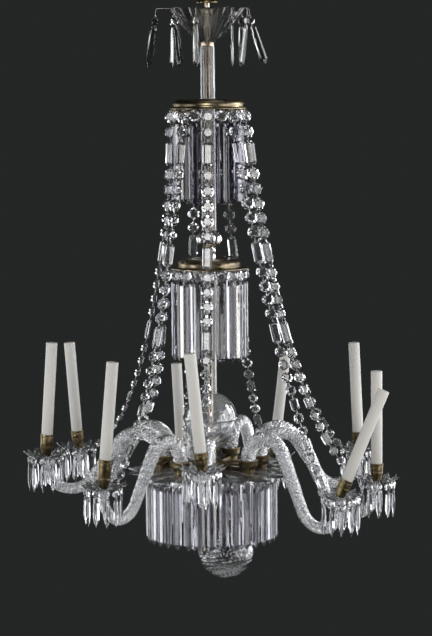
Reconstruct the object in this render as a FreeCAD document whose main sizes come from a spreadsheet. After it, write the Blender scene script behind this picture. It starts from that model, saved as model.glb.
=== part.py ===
import FreeCAD, Part
import math
import os
import re

import Sketcher

# Cage chandelier of cut crystal and brass, nine candle arms, in millimetres, +Z up.
# The origin is the centre of the hanging eye. Azimuth 0 faces -Y and grows towards +X.

Vector = FreeCAD.Vector
doc = FreeCAD.newDocument("cage_chandelier")

SIZES = {
    # Hanging loop, its pin and the lug on the top cap
    "eye_bore_radius": 11,
    "eye_wall": 8,
    "loop_thickness": 8,
    "loop_shank_width": 15,
    "pin_drop": 36,
    "pin_radius": 4,
    "pin_clearance": 0.05,
    "pin_head_radius": 7,
    "pin_head_length": 3,
    "lug_wall": 6.5,
    "lug_ear": 6,
    "lug_side_clearance": 0.5,
    "lug_foot_clearance": 1.5,
    "cap_radius": 24,
    "cap_height": 11,
    "cap_bore_depth": 6,
    # Rod and the sleeves threaded on it
    "rod_radius": 5.5,
    "bore_clearance": 0.2,
    "seat_clearance": 0.3,
    "sleeve_radius": 17,
    "lower_sleeve_radius": 14.5,
    "sleeve_wall": 3,
    "collar_radius": 15,
    "collar_height": 10,
    "collar_waist": 1.5,
    "upper_sleeve_length": 112,
    "cage_sleeve_length": 273,
    "lower_sleeve_length": 283,
    # Glass canopy and the drops on its wires
    "canopy_gap": 12,
    "canopy_height": 72,
    "canopy_rim_radius": 84.5,
    "canopy_neck_radius": 20,
    "canopy_curve_radius": 400,
    "canopy_wall": 4,
    "canopy_petals": 9,
    "canopy_notch_depth": 8,
    "canopy_notch_width": 14,
    "canopy_overrun": 4,
    "hook_radius": 0.9,
    "hook_reach": 8,
    "long_hook_reach": 27,
    "hook_grip": 4,
    "hook_drop": 16,
    "hook_eye_radius": 2,
    "hook_eye_thickness": 1.3,
    "staple_radius": 0.5,
    "staple_clearance": 0.15,
    "staple_drop": 4,
    "canopy_bead_width": 15.5,
    "canopy_bead_depth": 8,
    "canopy_drop_length": 90,
    "canopy_drop_width": 18,
    "canopy_drop_depth": 6,
    # Crown and middle bands with their drops
    "band_height": 22,
    "band_wall": 2.5,
    "band_lip": 5,
    "band_corner": 7,
    "crown_radius": 79,
    "middle_radius": 68,
    "drop_ring_radius": 80,
    "knop_radius": 29.5,
    "knop_height": 38,
    "knop_neck_radius": 16,
    "knop_neck_height": 24,
    "crown_drop_count": 9,
    "crown_bead_width": 26,
    "crown_prism_length": 183,
    "crown_prism_width": 25,
    "middle_drop_count": 20,
    "middle_bead_width": 24.2,
    "middle_prism_length": 176,
    "middle_prism_width": 22.5,
    "bead_depth": 14,
    "bead_girdle": 3,
    "prism_depth": 9,
    "prism_point": 11,
    "drop_gap": 0.5,
    # Globe, receiver, star dish and its curtain
    "globe_radius": 57,
    "globe_rim_lip": 5,
    "globe_rim_height": 4,
    "globe_neck_radius": 15,
    "globe_wall": 3.5,
    "globe_bowl_height": 67,
    "globe_foot_radius": 22,
    "globe_bowl_curve": 72,
    "hub_height": 44,
    "hub_top_radius": 18,
    "hub_waist_radius": 13,
    "hub_foot_radius": 36,
    "hub_bar_width": 13,
    "hub_bar_height": 9,
    "hub_bar_level": 1,
    "socket_ring_radius": 108,
    "socket_height": 28,
    "socket_depth": 14,
    "socket_wall": 3.5,
    "socket_foot_radius": 15,
    "star_radius": 187,
    "star_points": 18,
    "star_notch_depth": 24,
    "star_thickness": 6,
    "star_flat_radius": 152,
    "star_tip_drop": 5,
    "hub_drop_count": 34,
    "hub_drop_radius": 142,
    "hub_bead_width": 21.5,
    "hub_prism_length": 131,
    "hub_prism_width": 21,
    "hub_nut_radius": 26,
    "hub_nut_height": 12,
    # Finial below the hub, which leans
    "finial_lean_angle": 10.3,
    "finial_stem_radius": 6,
    "finial_plate_radius": 41,
    "finial_plate_level": 8,
    "finial_plate_height": 4,
    "finial_drop_count": 9,
    "finial_drop_radius": 36,
    "finial_drop_angle": 13.6,
    "finial_bead_width": 20,
    "finial_prism_length": 134,
    "finial_prism_width": 21,
    "ball_radius": 61.5,
    "ball_level": 171,
    "ball_wall": 3.5,
    "ball_neck_radius": 22,
    "ball_cap_overhang": 4,
    # Arms
    "arm_root_radius": 17,
    "arm_bend_radius": 15.5,
    "arm_low_radius": 13,
    "arm_end_radius": 12,
    "arm_root_rise": 13,
    "arch_radius": 52,
    "low_bend_radius": 55,
    "arm_span": 150,
    "arm_drop": 18,
    "arm_end_rise": 14,
    # Drip pans, candle cups and candles
    "pan_radius": 50,
    "pan_star_depth": 8,
    "pan_star_points": 12,
    "pan_flat_radius": 20,
    "pan_rise": 9,
    "pan_thickness": 4,
    "pan_bore_radius": 8,
    "pan_drop_count": 10,
    "pan_drop_radius": 38,
    "pan_bead_width": 15,
    "pan_bead_depth": 7,
    "pan_spear_length": 62,
    "pan_spear_width": 15,
    "pan_spear_depth": 8,
    "cup_ball_radius": 11,
    "cup_radius": 13.9,
    "cup_lip": 1.4,
    "cup_lip_height": 3,
    "cup_floor": 12,
    "cup_height": 33,
    "candle_radius": 12.5,
    "candle_length": 225,
    "candle_clearance": 0.3,
    # Bead chains from the crown to the pans
    "chain_bead_top_width": 27,
    "chain_bead_end_width": 19,
    "chain_oblong_length": 52,
    "chain_oblong_width": 23,
    "chain_oblong_depth": 11,
    "chain_block_length": 27,
    "chain_block_width": 18,
    "chain_wire_radius": 0.8,
    "chain_top_clearance": 0.2,
    "chain_top_link": 2.5,
    "chain_link_gap": 6.3,
    "chain_pan_radius": 44,
}

# Each arm in turn: its azimuth and the lean of its candle, in degrees
ARMS = [
    (-3, -5.4),
    (48, 22.5),
    (84, 0),
    (113, -2.5),
    (156, 6.8),
    (191, -2.6),
    (237, -4),
    (270, 4),
    (322, 5),
]
# How far each arm's end stands above or below the level ring, as a share of the low bend's radius
ARM_LIFT_SHARES = [0.76, -0.68, -0.76, 0, -0.9, -1.3, 0, 0.28, -0.1]
# Extra height of the brass ferrule below each cup, as a share of the cup's height
FERRULE_SHARES = [0, 0, 0, 0, 0, 0, 0, 0.25, 0.65]
# Each canopy drop in turn: azimuth, the outward tilt at which it hangs and how far it is turned
# from facing outwards, in degrees
CANOPY_DROPS = [
    (-90, 9, 80),
    (-49, -7, 35),
    (-15, 0, 55),
    (34, 2, 65),
    (69, -7, -20),
    (97, 18, -75),
    (125, 0, 35),
    (-126, 2, 10),
]
CANOPY_LONG_HOOKS = [0]
# Each arm's chain in turn: its azimuth on the crown and the azimuth that its glass faces, in degrees
CHAINS = [
    (0, 0),
    (40, 22),
    (80, 30),
    (120, 150),
    (160, 170),
    (200, 187),
    (240, 262),
    (280, 335),
    (320, 318),
]
# The length of each chain as a share of the straight line between its ends
CHAIN_SLACK_SHARES = [1.012, 1.003, 1.015, 1.012, 1.006, 1.003, 1.026, 1.01, 1.01]
# The chains that end on their arm's arch instead of its pan
CHAINS_ON_ARCH = [7]
# The pieces of a full chain from the crown down: bead, long cut oblong or short block
CHAIN_PATTERN = "bbobbbbbobbbbobbbbkbbkbbkb"

sheet = doc.addObject("Spreadsheet::Sheet", "sizes")
for row, (alias, number) in enumerate(SIZES.items(), start=1):
    sheet.set(f"A{row}", alias)
    sheet.set(f"B{row}", str(number))
    sheet.setAlias(f"B{row}", alias)
doc.recompute()


def size(alias):
    """The number in the sheet's cell of that name."""
    return float(getattr(sheet, alias))


def bound(text):
    """An expression on the sheet's cells, from one written in their bare names."""

    def cell(word):
        name = word.group(0)
        return "sizes." + name if name in SIZES else name

    return re.sub(r"[a-z][a-z_0-9]+", cell, text)


def value(text):
    """What such an expression comes to now."""
    return float(sheet.evalExpression(bound(text)))


def polar(azimuth, radius, level=0):
    """A point at an azimuth in degrees, a radius and a height."""
    turn = math.radians(azimuth)
    return Vector(radius * math.sin(turn), -radius * math.cos(turn), level)


def turned_about_z(azimuth):
    return FreeCAD.Rotation(Vector(0, 0, 1), azimuth)


# Levels of the stack on the rod, from the cap down, written in the sheet's names

CAP_BOTTOM = "-(pin_drop + eye_bore_radius + cap_height)"
CANOPY_BOTTOM = f"{CAP_BOTTOM} - canopy_gap - canopy_height"
UPPER_SLEEVE_TOP = f"{CANOPY_BOTTOM} - collar_height"
CROWN_TOP = f"{UPPER_SLEEVE_TOP} - upper_sleeve_length"
CROWN_BOTTOM = f"{CROWN_TOP} - band_height"
CROWN_COLLAR = f"{CROWN_TOP} - band_wall"
CAGE_SLEEVE_TOP = f"{CROWN_COLLAR} - collar_height"
KNOP_TOP = f"{CAGE_SLEEVE_TOP} - cage_sleeve_length"
MIDDLE_TOP = f"{KNOP_TOP} - knop_height - knop_neck_height"
MIDDLE_BOTTOM = f"{MIDDLE_TOP} - band_height"
MIDDLE_COLLAR = f"{MIDDLE_TOP} - band_wall"
LOWER_SLEEVE_TOP = f"{MIDDLE_COLLAR} - collar_height"
GLOBE_TOP = f"{LOWER_SLEEVE_TOP} - lower_sleeve_length"
GLOBE_RIM = f"{GLOBE_TOP} - globe_radius"
HUB_TOP = f"{GLOBE_RIM} - globe_bowl_height"
STAR_TOP = f"{HUB_TOP} - hub_height"
STAR_BOTTOM = f"{STAR_TOP} - star_thickness"
FINIAL_TOP = f"{STAR_BOTTOM} - hub_nut_height"


# Helpers for bodies drawn as sketches


def origin_feature(body, role):
    for feature in body.Origin.OriginFeatures:
        if feature.Role == role:
            return feature


def new_sketch(body, name, plane):
    sketch = body.newObject("Sketcher::SketchObject", name)
    sketch.AttachmentSupport = [(origin_feature(body, plane), "")]
    sketch.MapMode = "FlatFace"
    return sketch


def arc_between(start, end, radius):
    """The short arc of a given radius, its bulge on the right of the way for a positive one."""
    chord = end - start
    right = Vector(chord.y, -chord.x, 0).normalize()
    middle = (start + end) * 0.5
    side = 1 if radius > 0 else -1
    rise = math.sqrt(radius ** 2 - (chord.Length / 2) ** 2)
    centre = middle - right * (side * rise)
    angles = [math.atan2(point.y - centre.y, point.x - centre.x) for point in (start, end)]
    if side < 0:
        angles.reverse()
    return Part.ArcOfCircle(Part.Circle(centre, Vector(0, 0, 1), abs(radius)), *angles)


def pin_coordinate(sketch, kind, axis, edge, end, text):
    """Ties one coordinate of an edge's end to an expression, or to the axis where it is zero."""
    if text == "0":
        sketch.addConstraint(Sketcher.Constraint("PointOnObject", edge, end, axis))
        return
    number = value(text)
    index = sketch.addConstraint(Sketcher.Constraint(kind, -1, 1, edge, end, number))
    sketch.setExpression(f"Constraints[{index}]", bound(text))


def draw_outline(sketch, outline):
    """Draws a closed outline of (x, y) expressions. A third one is the radius of the arc that
    leaves that point."""
    points = [Vector(value(item[0]), value(item[1]), 0) for item in outline]
    count = len(points)
    ends = []
    for index, item in enumerate(outline):
        start = points[index]
        end = points[(index + 1) % count]
        if len(item) == 3:
            sketch.addGeometry(arc_between(start, end, value(item[2])))
        else:
            sketch.addGeometry(Part.LineSegment(start, end))
        first = sketch.getPoint(index, 1)
        forward = first.distanceToPoint(start) < first.distanceToPoint(end)
        ends.append((1, 2) if forward else (2, 1))
    for index, item in enumerate(outline):
        after = (index + 1) % count
        joint = Sketcher.Constraint("Coincident", index, ends[index][1], after, ends[after][0])
        sketch.addConstraint(joint)
    for index, item in enumerate(outline):
        pin_coordinate(sketch, "DistanceX", -2, index, ends[index][0], item[0])
        pin_coordinate(sketch, "DistanceY", -1, index, ends[index][0], item[1])
        if len(item) == 3:
            radius = abs(value(item[2]))
            bend = sketch.addConstraint(Sketcher.Constraint("Radius", index, radius))
            sketch.setExpression(f"Constraints[{bend}]", "abs(" + bound(item[2]) + ")")


def turned(label, outline, level):
    """A body spun round the Z axis from an outline of (radius, height) expressions."""
    body = doc.addObject("PartDesign::Body", label)
    sketch = new_sketch(body, label + "_outline", "XZ_Plane")
    draw_outline(sketch, outline)
    spin = body.newObject("PartDesign::Revolution", label + "_spin")
    spin.Profile = sketch
    spin.ReferenceAxis = (sketch, ["V_Axis"])
    spin.Angle = 360
    body.Label = label
    body.setExpression(".Placement.Base.z", bound(level))
    return body


def notched(body, label, outline, count):
    """Cuts an outline through the body at even steps round its axis."""
    sketch = new_sketch(body, label, "XY_Plane")
    draw_outline(sketch, outline)
    cut = body.newObject("PartDesign::Pocket", label + "_cut")
    cut.Profile = sketch
    cut.Type = "ThroughAll"
    cut.SideType = "Symmetric"
    ring = body.newObject("PartDesign::PolarPattern", label + "_ring")
    ring.Originals = [cut]
    ring.Axis = (origin_feature(body, "Z_Axis"), [""])
    ring.Angle = 360
    ring.setExpression("Occurrences", bound(count))
    body.Tip = ring


def sleeve(name, radius, length, top):
    """A glass sleeve that stands round the rod with its upper end at a level."""
    outline = [
        (f"{radius} - sleeve_wall", f"-{length}"),
        (radius, f"-{length}"),
        (radius, "0"),
        (f"{radius} - sleeve_wall", "0"),
    ]
    return turned(name, outline, top)


# Helpers for faceted glass, spun masters and rings of copies


def flat_face(points):
    return Part.Face(Part.makePolygon(points + points[:1]))


def quad_faces(low, high):
    """The walls between two loops: one face where four corners are flat, otherwise two."""
    faces = []
    count = len(low)
    for index in range(count):
        after = (index + 1) % count
        corners = [low[index], low[after], high[after], high[index]]
        across = (corners[1] - corners[0]).cross(corners[3] - corners[0]).normalize()
        reach = (corners[2] - corners[0]).Length
        if abs(across.dot(corners[2] - corners[0])) < reach * 1e-7:
            faces.append(flat_face(corners))
        else:
            faces.append(flat_face([corners[0], corners[1], corners[2]]))
            faces.append(flat_face([corners[0], corners[2], corners[3]]))
    return faces


def faceted(loops):
    """A closed solid whose flat facets join one loop of points to the next."""
    faces = [flat_face(loops[0]), flat_face(loops[-1])]
    for low, high in zip(loops, loops[1:]):
        faces += quad_faces(low, high)
    solid = Part.Solid(Part.Shell(faces))
    if solid.Volume < 0:
        solid.reverse()
    return solid


BEAD_SIDES = 8
BEAD_TABLE_SHARE = 0.55
SMALL_BEAD_SIDES = 6


def cut_bead(width, depth, girdle, sides=BEAD_SIDES):
    """A button bead that faces -Y, flat sides up and down, `width` across those flats."""
    across = width / 2 / math.cos(math.pi / sides)

    def ring(scale, level):
        turns = [(corner + 0.5) * 2 * math.pi / sides + math.pi / 2 for corner in range(sides)]
        reach = across * scale
        return [Vector(reach * math.cos(t), level, reach * math.sin(t)) for t in turns]

    half = girdle / 2
    levels = [(BEAD_TABLE_SHARE, -depth / 2), (1, -half), (1, half), (BEAD_TABLE_SHARE, depth / 2)]
    return faceted([ring(scale, level) for scale, level in levels])


PRISM_FLAT_SHARE = 0.45
PRISM_TIP_SHARE = 0.18
PRISM_TOP_SHARE = 0.5


def hanging_prism(length, width, depth, point, taper=1.0):
    """A six-sided prism that hangs from the origin, pointed below and shouldered above.

    `taper` is the upper width as a share of the lower one.
    """

    def ring(scale, level):
        flat = width / 2 * PRISM_FLAT_SHARE * scale
        wide = width / 2 * scale
        deep = depth / 2 * scale
        corners = [(wide, 0), (flat, deep), (-flat, deep), (-wide, 0), (-flat, -deep), (flat, -deep)]
        return [Vector(x, y, level) for x, y in corners]

    shoulder = point * PRISM_TOP_SHARE
    levels = [
        (PRISM_TIP_SHARE, -length),
        (1, point - length),
        (taper, -shoulder),
        (PRISM_TOP_SHARE * taper, 0),
    ]
    return faceted([ring(scale, level) for scale, level in levels])


SPEAR_LEVEL_SHARES = [(0.08, 1), (1, 0.62), (0.3, 0)]


def spear(length, width, depth):
    """A four-sided spear drop that hangs from the origin, widest below its middle."""
    loops = []
    for scale, down in SPEAR_LEVEL_SHARES:
        wide = width / 2 * scale
        deep = depth / 2 * scale
        level = -length * down
        corners = [(wide, 0), (0, deep), (-wide, 0), (0, -deep)]
        loops.append([Vector(x, y, level) for x, y in corners])
    return faceted(loops)


def spun(outline):
    """A solid spun round Z from a closed list of (radius, height) numbers."""
    points = [Vector(radius, 0, level) for radius, level in outline]
    return flat_face(points).revolve(Vector(0, 0, 0), Vector(0, 0, 1), 360)


def placed(shape, placement):
    copy = shape.copy()
    copy.Placement = placement.multiply(copy.Placement)
    return copy


def ring_of(shape, count, radius, level, start=0):
    """Copies of a shape at even steps round the axis, each turned to face outwards."""
    copies = []
    for index in range(count):
        azimuth = start + index * 360 / count
        spot = FreeCAD.Placement(polar(azimuth, radius, level), turned_about_z(azimuth))
        copies.append(placed(shape, spot))
    return copies


def group(label, shapes, placement=None):
    """A sub-part that holds one or more solids."""
    feature = doc.addObject("Part::Feature", label)
    feature.Shape = shapes[0] if len(shapes) == 1 else Part.makeCompound(shapes)
    feature.Label = label
    if placement:
        feature.Placement = placement
    return feature


def cylinder(name, radius, length):
    shape = doc.addObject("Part::Cylinder", name)
    shape.setExpression("Radius", bound(radius))
    shape.setExpression("Height", bound(length))
    return shape


def crosswise(name, radius, length, level):
    """A cylinder along Y, centred on the YZ plane at a level."""
    shape = cylinder(name, radius, length)
    shape.Placement = FreeCAD.Placement(Vector(0, 0, 0), FreeCAD.Rotation(Vector(1, 0, 0), 90))
    shape.setExpression(".Placement.Base.y", bound(f"({length}) / 2"))
    shape.setExpression(".Placement.Base.z", bound(level))
    return shape


def centred_box(name, width, depth, bottom, top):
    shape = doc.addObject("Part::Box", name)
    shape.setExpression("Length", bound(width))
    shape.setExpression("Width", bound(depth))
    shape.setExpression("Height", bound(f"({top}) - ({bottom})"))
    shape.setExpression(".Placement.Base.x", bound(f"-({width}) / 2"))
    shape.setExpression(".Placement.Base.y", bound(f"-({depth}) / 2"))
    shape.setExpression(".Placement.Base.z", bound(bottom))
    return shape


def fused(name, *shapes):
    union = doc.addObject("Part::MultiFuse", name)
    union.Shapes = list(shapes)
    return union


def cut_from(label, base, tool):
    result = doc.addObject("Part::Cut", label)
    result.Base = base
    result.Tool = tool
    result.Label = label
    return result


# Hanging loop, pin and top cap

EYE_RADIUS = "eye_bore_radius + eye_wall"
LOOP_FOOT_RADIUS = "pin_radius + lug_wall"
LUG_WIDTH = "loop_thickness + 2 * lug_side_clearance + 2 * lug_ear"
LUG_SLOT_FLOOR = f"-(pin_drop + {LOOP_FOOT_RADIUS} + lug_foot_clearance)"


def build_hanging_loop():
    eye = crosswise("loop_eye", EYE_RADIUS, "loop_thickness", "0")
    foot = crosswise("loop_foot", LOOP_FOOT_RADIUS, "loop_thickness", "-pin_drop")
    shank = centred_box("loop_shank", "loop_shank_width", "loop_thickness", "-pin_drop", "0")
    body = fused("loop_body", eye, foot, shank)
    hook_bore = crosswise("loop_hook_bore", "eye_bore_radius", "loop_thickness * 2", "0")
    pin_bore = crosswise("loop_pin_bore", "pin_radius + pin_clearance", "loop_thickness * 2", "-pin_drop")
    return cut_from("hanging_loop", body, fused("loop_bores", hook_bore, pin_bore))


def build_hanging_pin():
    shank = crosswise("pin_shank", "pin_radius", LUG_WIDTH, "-pin_drop")
    head = crosswise("pin_head", "pin_head_radius", "pin_head_length", "-pin_drop")
    head.setExpression(".Placement.Base.y", bound(f"-({LUG_WIDTH}) / 2"))
    pin = fused("hanging_pin", shank, head)
    pin.Label = "hanging_pin"
    return pin


def build_top_cap():
    outline = [
        ("0", "cap_bore_depth"),
        ("rod_radius + bore_clearance", "cap_bore_depth"),
        ("rod_radius + bore_clearance", "0"),
        ("cap_radius", "0"),
        ("cap_radius", "cap_height * 0.3"),
        ("cap_radius * 0.88", "cap_height * 0.42", "cap_radius * 0.9"),
        ("cap_radius * 0.5", "cap_height"),
        ("0", "cap_height"),
    ]
    cap = turned("cap_turning", outline, CAP_BOTTOM)
    lug = centred_box("lug_block", f"2 * ({LOOP_FOOT_RADIUS})", LUG_WIDTH,
                      f"{CAP_BOTTOM} + cap_bore_depth + cap_height * 0.1", "-pin_drop")
    top = crosswise("lug_top", LOOP_FOOT_RADIUS, LUG_WIDTH, "-pin_drop")
    solid = fused("cap_with_lug", cap, lug, top)
    slot = centred_box("lug_slot", "cap_radius * 2", "loop_thickness + 2 * lug_side_clearance",
                       LUG_SLOT_FLOOR, "0")
    bore = crosswise("lug_bore", "pin_radius + pin_clearance", f"{LUG_WIDTH} + lug_ear", "-pin_drop")
    return cut_from("top_cap", solid, fused("lug_cuts", slot, bore))


# Rod, collars and glass sleeves


def build_central_rod():
    top = f"{CAP_BOTTOM} + cap_bore_depth"
    rod = cylinder("central_rod", "rod_radius", f"({top}) - ({STAR_BOTTOM})")
    rod.setExpression(".Placement.Base.z", bound(STAR_BOTTOM))
    rod.Label = "central_rod"
    return rod


def collar(radius, height):
    """A turned brass nut with a waist, its top at zero."""
    bore = size("rod_radius") + size("bore_clearance")
    waist = radius - size("collar_waist")
    outline = [
        (bore, -height),
        (radius, -height),
        (radius, -height * 0.72),
        (waist, -height * 0.6),
        (waist, -height * 0.4),
        (radius, -height * 0.28),
        (radius, 0),
        (bore, 0),
    ]
    return spun(outline)


def build_stem_collars():
    small = collar(size("collar_radius"), size("collar_height"))
    nut = collar(size("hub_nut_radius"), size("hub_nut_height"))
    shapes = []
    for shape, level in (
        (small, CANOPY_BOTTOM),
        (small, CROWN_COLLAR),
        (small, MIDDLE_COLLAR),
        (nut, STAR_BOTTOM),
    ):
        spot = FreeCAD.Placement(Vector(0, 0, value(level)), FreeCAD.Rotation())
        shapes.append(placed(shape, spot))
    return group("stem_collars", shapes)


def build_stem_sleeves():
    """The three lengths of glass tube that hide the rod."""
    sleeves = doc.addObject("Part::Compound", "stem_sleeves")
    sleeves.Links = [
        sleeve("upper_sleeve", "sleeve_radius", "upper_sleeve_length", UPPER_SLEEVE_TOP),
        sleeve("cage_sleeve", "sleeve_radius", "cage_sleeve_length", CAGE_SLEEVE_TOP),
        sleeve("lower_sleeve", "lower_sleeve_radius", "lower_sleeve_length", LOWER_SLEEVE_TOP),
    ]
    sleeves.Label = "stem_sleeves"
    return sleeves


def build_stem_knop():
    neck = "knop_height + knop_neck_height"
    outline = [
        ("rod_radius + bore_clearance", "0"),
        ("rod_radius + bore_clearance", f"-({neck})"),
        ("knop_neck_radius * 0.9", f"-({neck})"),
        ("knop_neck_radius * 0.8", f"-({neck}) * 0.85"),
        ("knop_neck_radius", "-knop_height", "knop_radius * 0.95"),
        ("knop_radius", "-knop_height / 2", "knop_radius * 0.95"),
        ("knop_neck_radius", "0"),
    ]
    return turned("stem_knop", outline, KNOP_TOP)


# Canopy, its wires and its swinging drops


def build_canopy_dish():
    outline = [
        ("rod_radius + bore_clearance", "0"),
        ("canopy_neck_radius", "0", "canopy_curve_radius"),
        ("canopy_rim_radius", "canopy_height"),
        ("canopy_rim_radius - canopy_wall", "canopy_height",
         "-(canopy_curve_radius - canopy_wall)"),
        ("canopy_neck_radius", "canopy_wall * 1.4"),
        ("rod_radius + bore_clearance", "canopy_wall * 1.4"),
    ]
    body = turned("canopy_dish", outline, CANOPY_BOTTOM)
    notch = [
        ("canopy_rim_radius - canopy_notch_depth", "0"),
        ("canopy_rim_radius + canopy_overrun", "-canopy_notch_width / 2"),
        ("canopy_rim_radius + canopy_overrun", "canopy_notch_width / 2"),
    ]
    notched(body, "canopy_notches", notch, "canopy_petals")
    return body


def hook_radius_at(index):
    """How far from the axis a canopy drop hangs."""
    reach = "long_hook_reach" if index in CANOPY_LONG_HOOKS else "hook_reach"
    return size("canopy_rim_radius") + size(reach)


HOOK_LEVEL = f"{CANOPY_BOTTOM} + canopy_height + hook_radius"


def build_canopy_hooks():
    """A wire from the rim out over each drop, with an eye at its lower end."""
    wires = []
    wire = size("hook_radius")
    thick = size("hook_eye_thickness")
    bore_radius = size("staple_radius") + size("staple_clearance")
    level = value(HOOK_LEVEL)
    for index, (azimuth, _, _) in enumerate(CANOPY_DROPS):
        inner = polar(azimuth, size("canopy_rim_radius") - size("hook_grip"), level)
        outer = polar(azimuth, hook_radius_at(index), level)
        along = Part.makeCylinder(wire, (outer - inner).Length, inner, outer - inner)
        corner = Part.makeSphere(wire, outer)
        down = Part.makeCylinder(wire, size("hook_drop"), outer, Vector(0, 0, -1))
        tangent = polar(azimuth + 90, 1)
        foot = outer - Vector(0, 0, size("hook_drop"))
        eye = Part.makeCylinder(size("hook_eye_radius"), thick, foot - tangent * (thick / 2), tangent)
        bore = Part.makeCylinder(bore_radius, 2 * thick, foot - tangent * thick, tangent)
        wires.append(along.fuse([corner, down, eye]).cut(bore).removeSplitter())
    return group("canopy_hooks", wires)


CANOPY_DROP_TAPER_SHARE = 0.72
STAPLE_SPREAD_SHARE = 0.14


def build_staple():
    """The wire staple that pivots in a hook's eye and stands on its bead."""
    wire = size("staple_radius")
    spread = size("canopy_bead_width") * STAPLE_SPREAD_SHARE
    bar = Part.makeCylinder(wire, 2 * spread, Vector(-spread, 0, 0), Vector(1, 0, 0))
    parts = []
    for side in (-spread, spread):
        parts.append(Part.makeSphere(wire, Vector(side, 0, 0)))
        parts.append(Part.makeCylinder(wire, size("staple_drop"), Vector(side, 0, 0), Vector(0, 0, -1)))
    return bar.fuse(parts).removeSplitter()


def build_canopy_drop(index):
    """One staple, bead and flat drop, tilted about the eye of its wire."""
    azimuth, tilt, turn = CANOPY_DROPS[index]
    width = size("canopy_bead_width")
    top = -size("staple_drop")
    bead = cut_bead(width, size("canopy_bead_depth"), size("bead_girdle"))
    bead.translate(Vector(0, 0, top - width / 2))
    drop = hanging_prism(size("canopy_drop_length"), size("canopy_drop_width"),
                         size("canopy_drop_depth"), size("prism_point"), CANOPY_DROP_TAPER_SHARE)
    drop.translate(Vector(0, 0, top - width - size("drop_gap")))
    for glass in (bead, drop):
        glass.rotate(Vector(0, 0, 0), Vector(0, 0, 1), turn)
    foot = value(f"{HOOK_LEVEL} - hook_drop")
    leaning = FreeCAD.Rotation(Vector(1, 0, 0), -tilt)
    spot = FreeCAD.Placement(polar(azimuth, hook_radius_at(index), foot),
                             turned_about_z(azimuth).multiply(leaning))
    return group(f"canopy_drop_{index + 1}", [build_staple(), bead, drop], spot)


# Crown and middle bands with the rings of drops that hang from them


def build_band(label, radius, top):
    """A pressed brass pan, open below, with a lip that the drops hang from."""
    lip = "drop_ring_radius + band_lip"
    outline = [
        ("rod_radius + bore_clearance", "-band_wall"),
        (f"{radius} - band_wall - band_corner", "-band_wall"),
        (f"{radius} - band_wall", "-band_wall - band_corner"),
        (f"{radius} - band_wall", "-band_height"),
        (lip, "-band_height"),
        (lip, "-band_height + band_wall"),
        (f"{radius}", "-band_height + band_wall + (drop_ring_radius + band_lip - " + radius + ")"),
        (radius, "-band_corner"),
        (f"{radius} - band_corner", "0"),
        ("rod_radius + bore_clearance", "0"),
    ]
    return turned(label, outline, top)


def strung_drops(bead_width, prism, count, radius, top, start=0):
    """A ring of beads under a level, with a prism close below each."""
    bead = cut_bead(bead_width, size("bead_depth"), size("bead_girdle"))
    bead_level = top - size("seat_clearance") - bead_width / 2
    prism_level = bead_level - bead_width / 2 - size("drop_gap")
    return ring_of(bead, count, radius, bead_level, start) + ring_of(prism, count, radius, prism_level, start)


def plain_prism(kind):
    length = size(kind + "_prism_length")
    width = size(kind + "_prism_width")
    return hanging_prism(length, width, size("prism_depth"), size("prism_point"))


def build_ring_of_drops(kind, radius, top, start=0):
    count = round(size(kind + "_drop_count"))
    width = size(kind + "_bead_width")
    shapes = strung_drops(width, plain_prism(kind), count, size(radius), value(top), start)
    return group(kind + "_drops", shapes)


# Globe: a smooth dome that rests on a cut bowl

GLOBE_RIM_RADIUS = "globe_radius + globe_rim_lip"


def build_globe_dome():
    neck_level = "sqrt(globe_radius ^ 2 - globe_neck_radius ^ 2)"
    inner = "globe_radius - globe_wall"
    outline = [
        (f"{inner}", "0"),
        (GLOBE_RIM_RADIUS, "0"),
        (GLOBE_RIM_RADIUS, "globe_rim_height"),
        ("sqrt(globe_radius ^ 2 - globe_rim_height ^ 2)", "globe_rim_height", "globe_radius"),
        ("globe_neck_radius", neck_level),
        ("globe_neck_radius", "globe_radius"),
        ("rod_radius + bore_clearance", "globe_radius"),
        ("rod_radius + bore_clearance", "globe_radius - globe_wall * 1.4"),
        ("globe_neck_radius * 0.8", "globe_radius - globe_wall * 1.4", f"-({inner})"),
    ]
    return turned("globe_dome", outline, GLOBE_RIM)


def build_globe_bowl():
    outline = [
        (GLOBE_RIM_RADIUS, "0"),
        ("globe_radius - globe_wall", "0", "-(globe_bowl_curve - globe_wall)"),
        ("globe_foot_radius - globe_wall", "-globe_bowl_height + globe_wall"),
        ("rod_radius + bore_clearance", "-globe_bowl_height + globe_wall"),
        ("rod_radius + bore_clearance", "-globe_bowl_height"),
        ("globe_foot_radius", "-globe_bowl_height", "globe_bowl_curve"),
        ("globe_radius", "-globe_rim_height"),
        (GLOBE_RIM_RADIUS, "-globe_rim_height"),
    ]
    return turned("globe_bowl", outline, GLOBE_RIM)


# Brass receiver with a bar to each socket, the sockets and the star dish under them


def build_receiver_hub():
    bore = size("rod_radius") + size("bore_clearance")
    top = size("hub_height")
    outline = [
        (bore, 0),
        (size("hub_foot_radius"), 0),
        (size("hub_foot_radius"), size("hub_bar_level") + size("hub_bar_height")),
        (size("hub_waist_radius"), top * 0.5),
        (size("hub_waist_radius"), top * 0.75),
        (size("hub_top_radius"), top * 0.9),
        (size("hub_top_radius"), top),
        (bore, top),
    ]
    hub = spun(outline)
    start = size("hub_waist_radius")
    width = size("hub_bar_width")
    reach = size("socket_ring_radius") - size("socket_foot_radius") - size("bore_clearance") - start
    bars = []
    for azimuth, _ in ARMS:
        bar = Part.makeBox(width, reach, size("hub_bar_height"),
                           Vector(-width / 2, -start - reach, size("hub_bar_level")))
        bar.rotate(Vector(0, 0, 0), Vector(0, 0, 1), azimuth)
        bars.append(bar)
    level = FreeCAD.Placement(Vector(0, 0, value(STAR_TOP)), FreeCAD.Rotation())
    return group("receiver_hub", [hub.fuse(bars).removeSplitter()], level)


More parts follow.
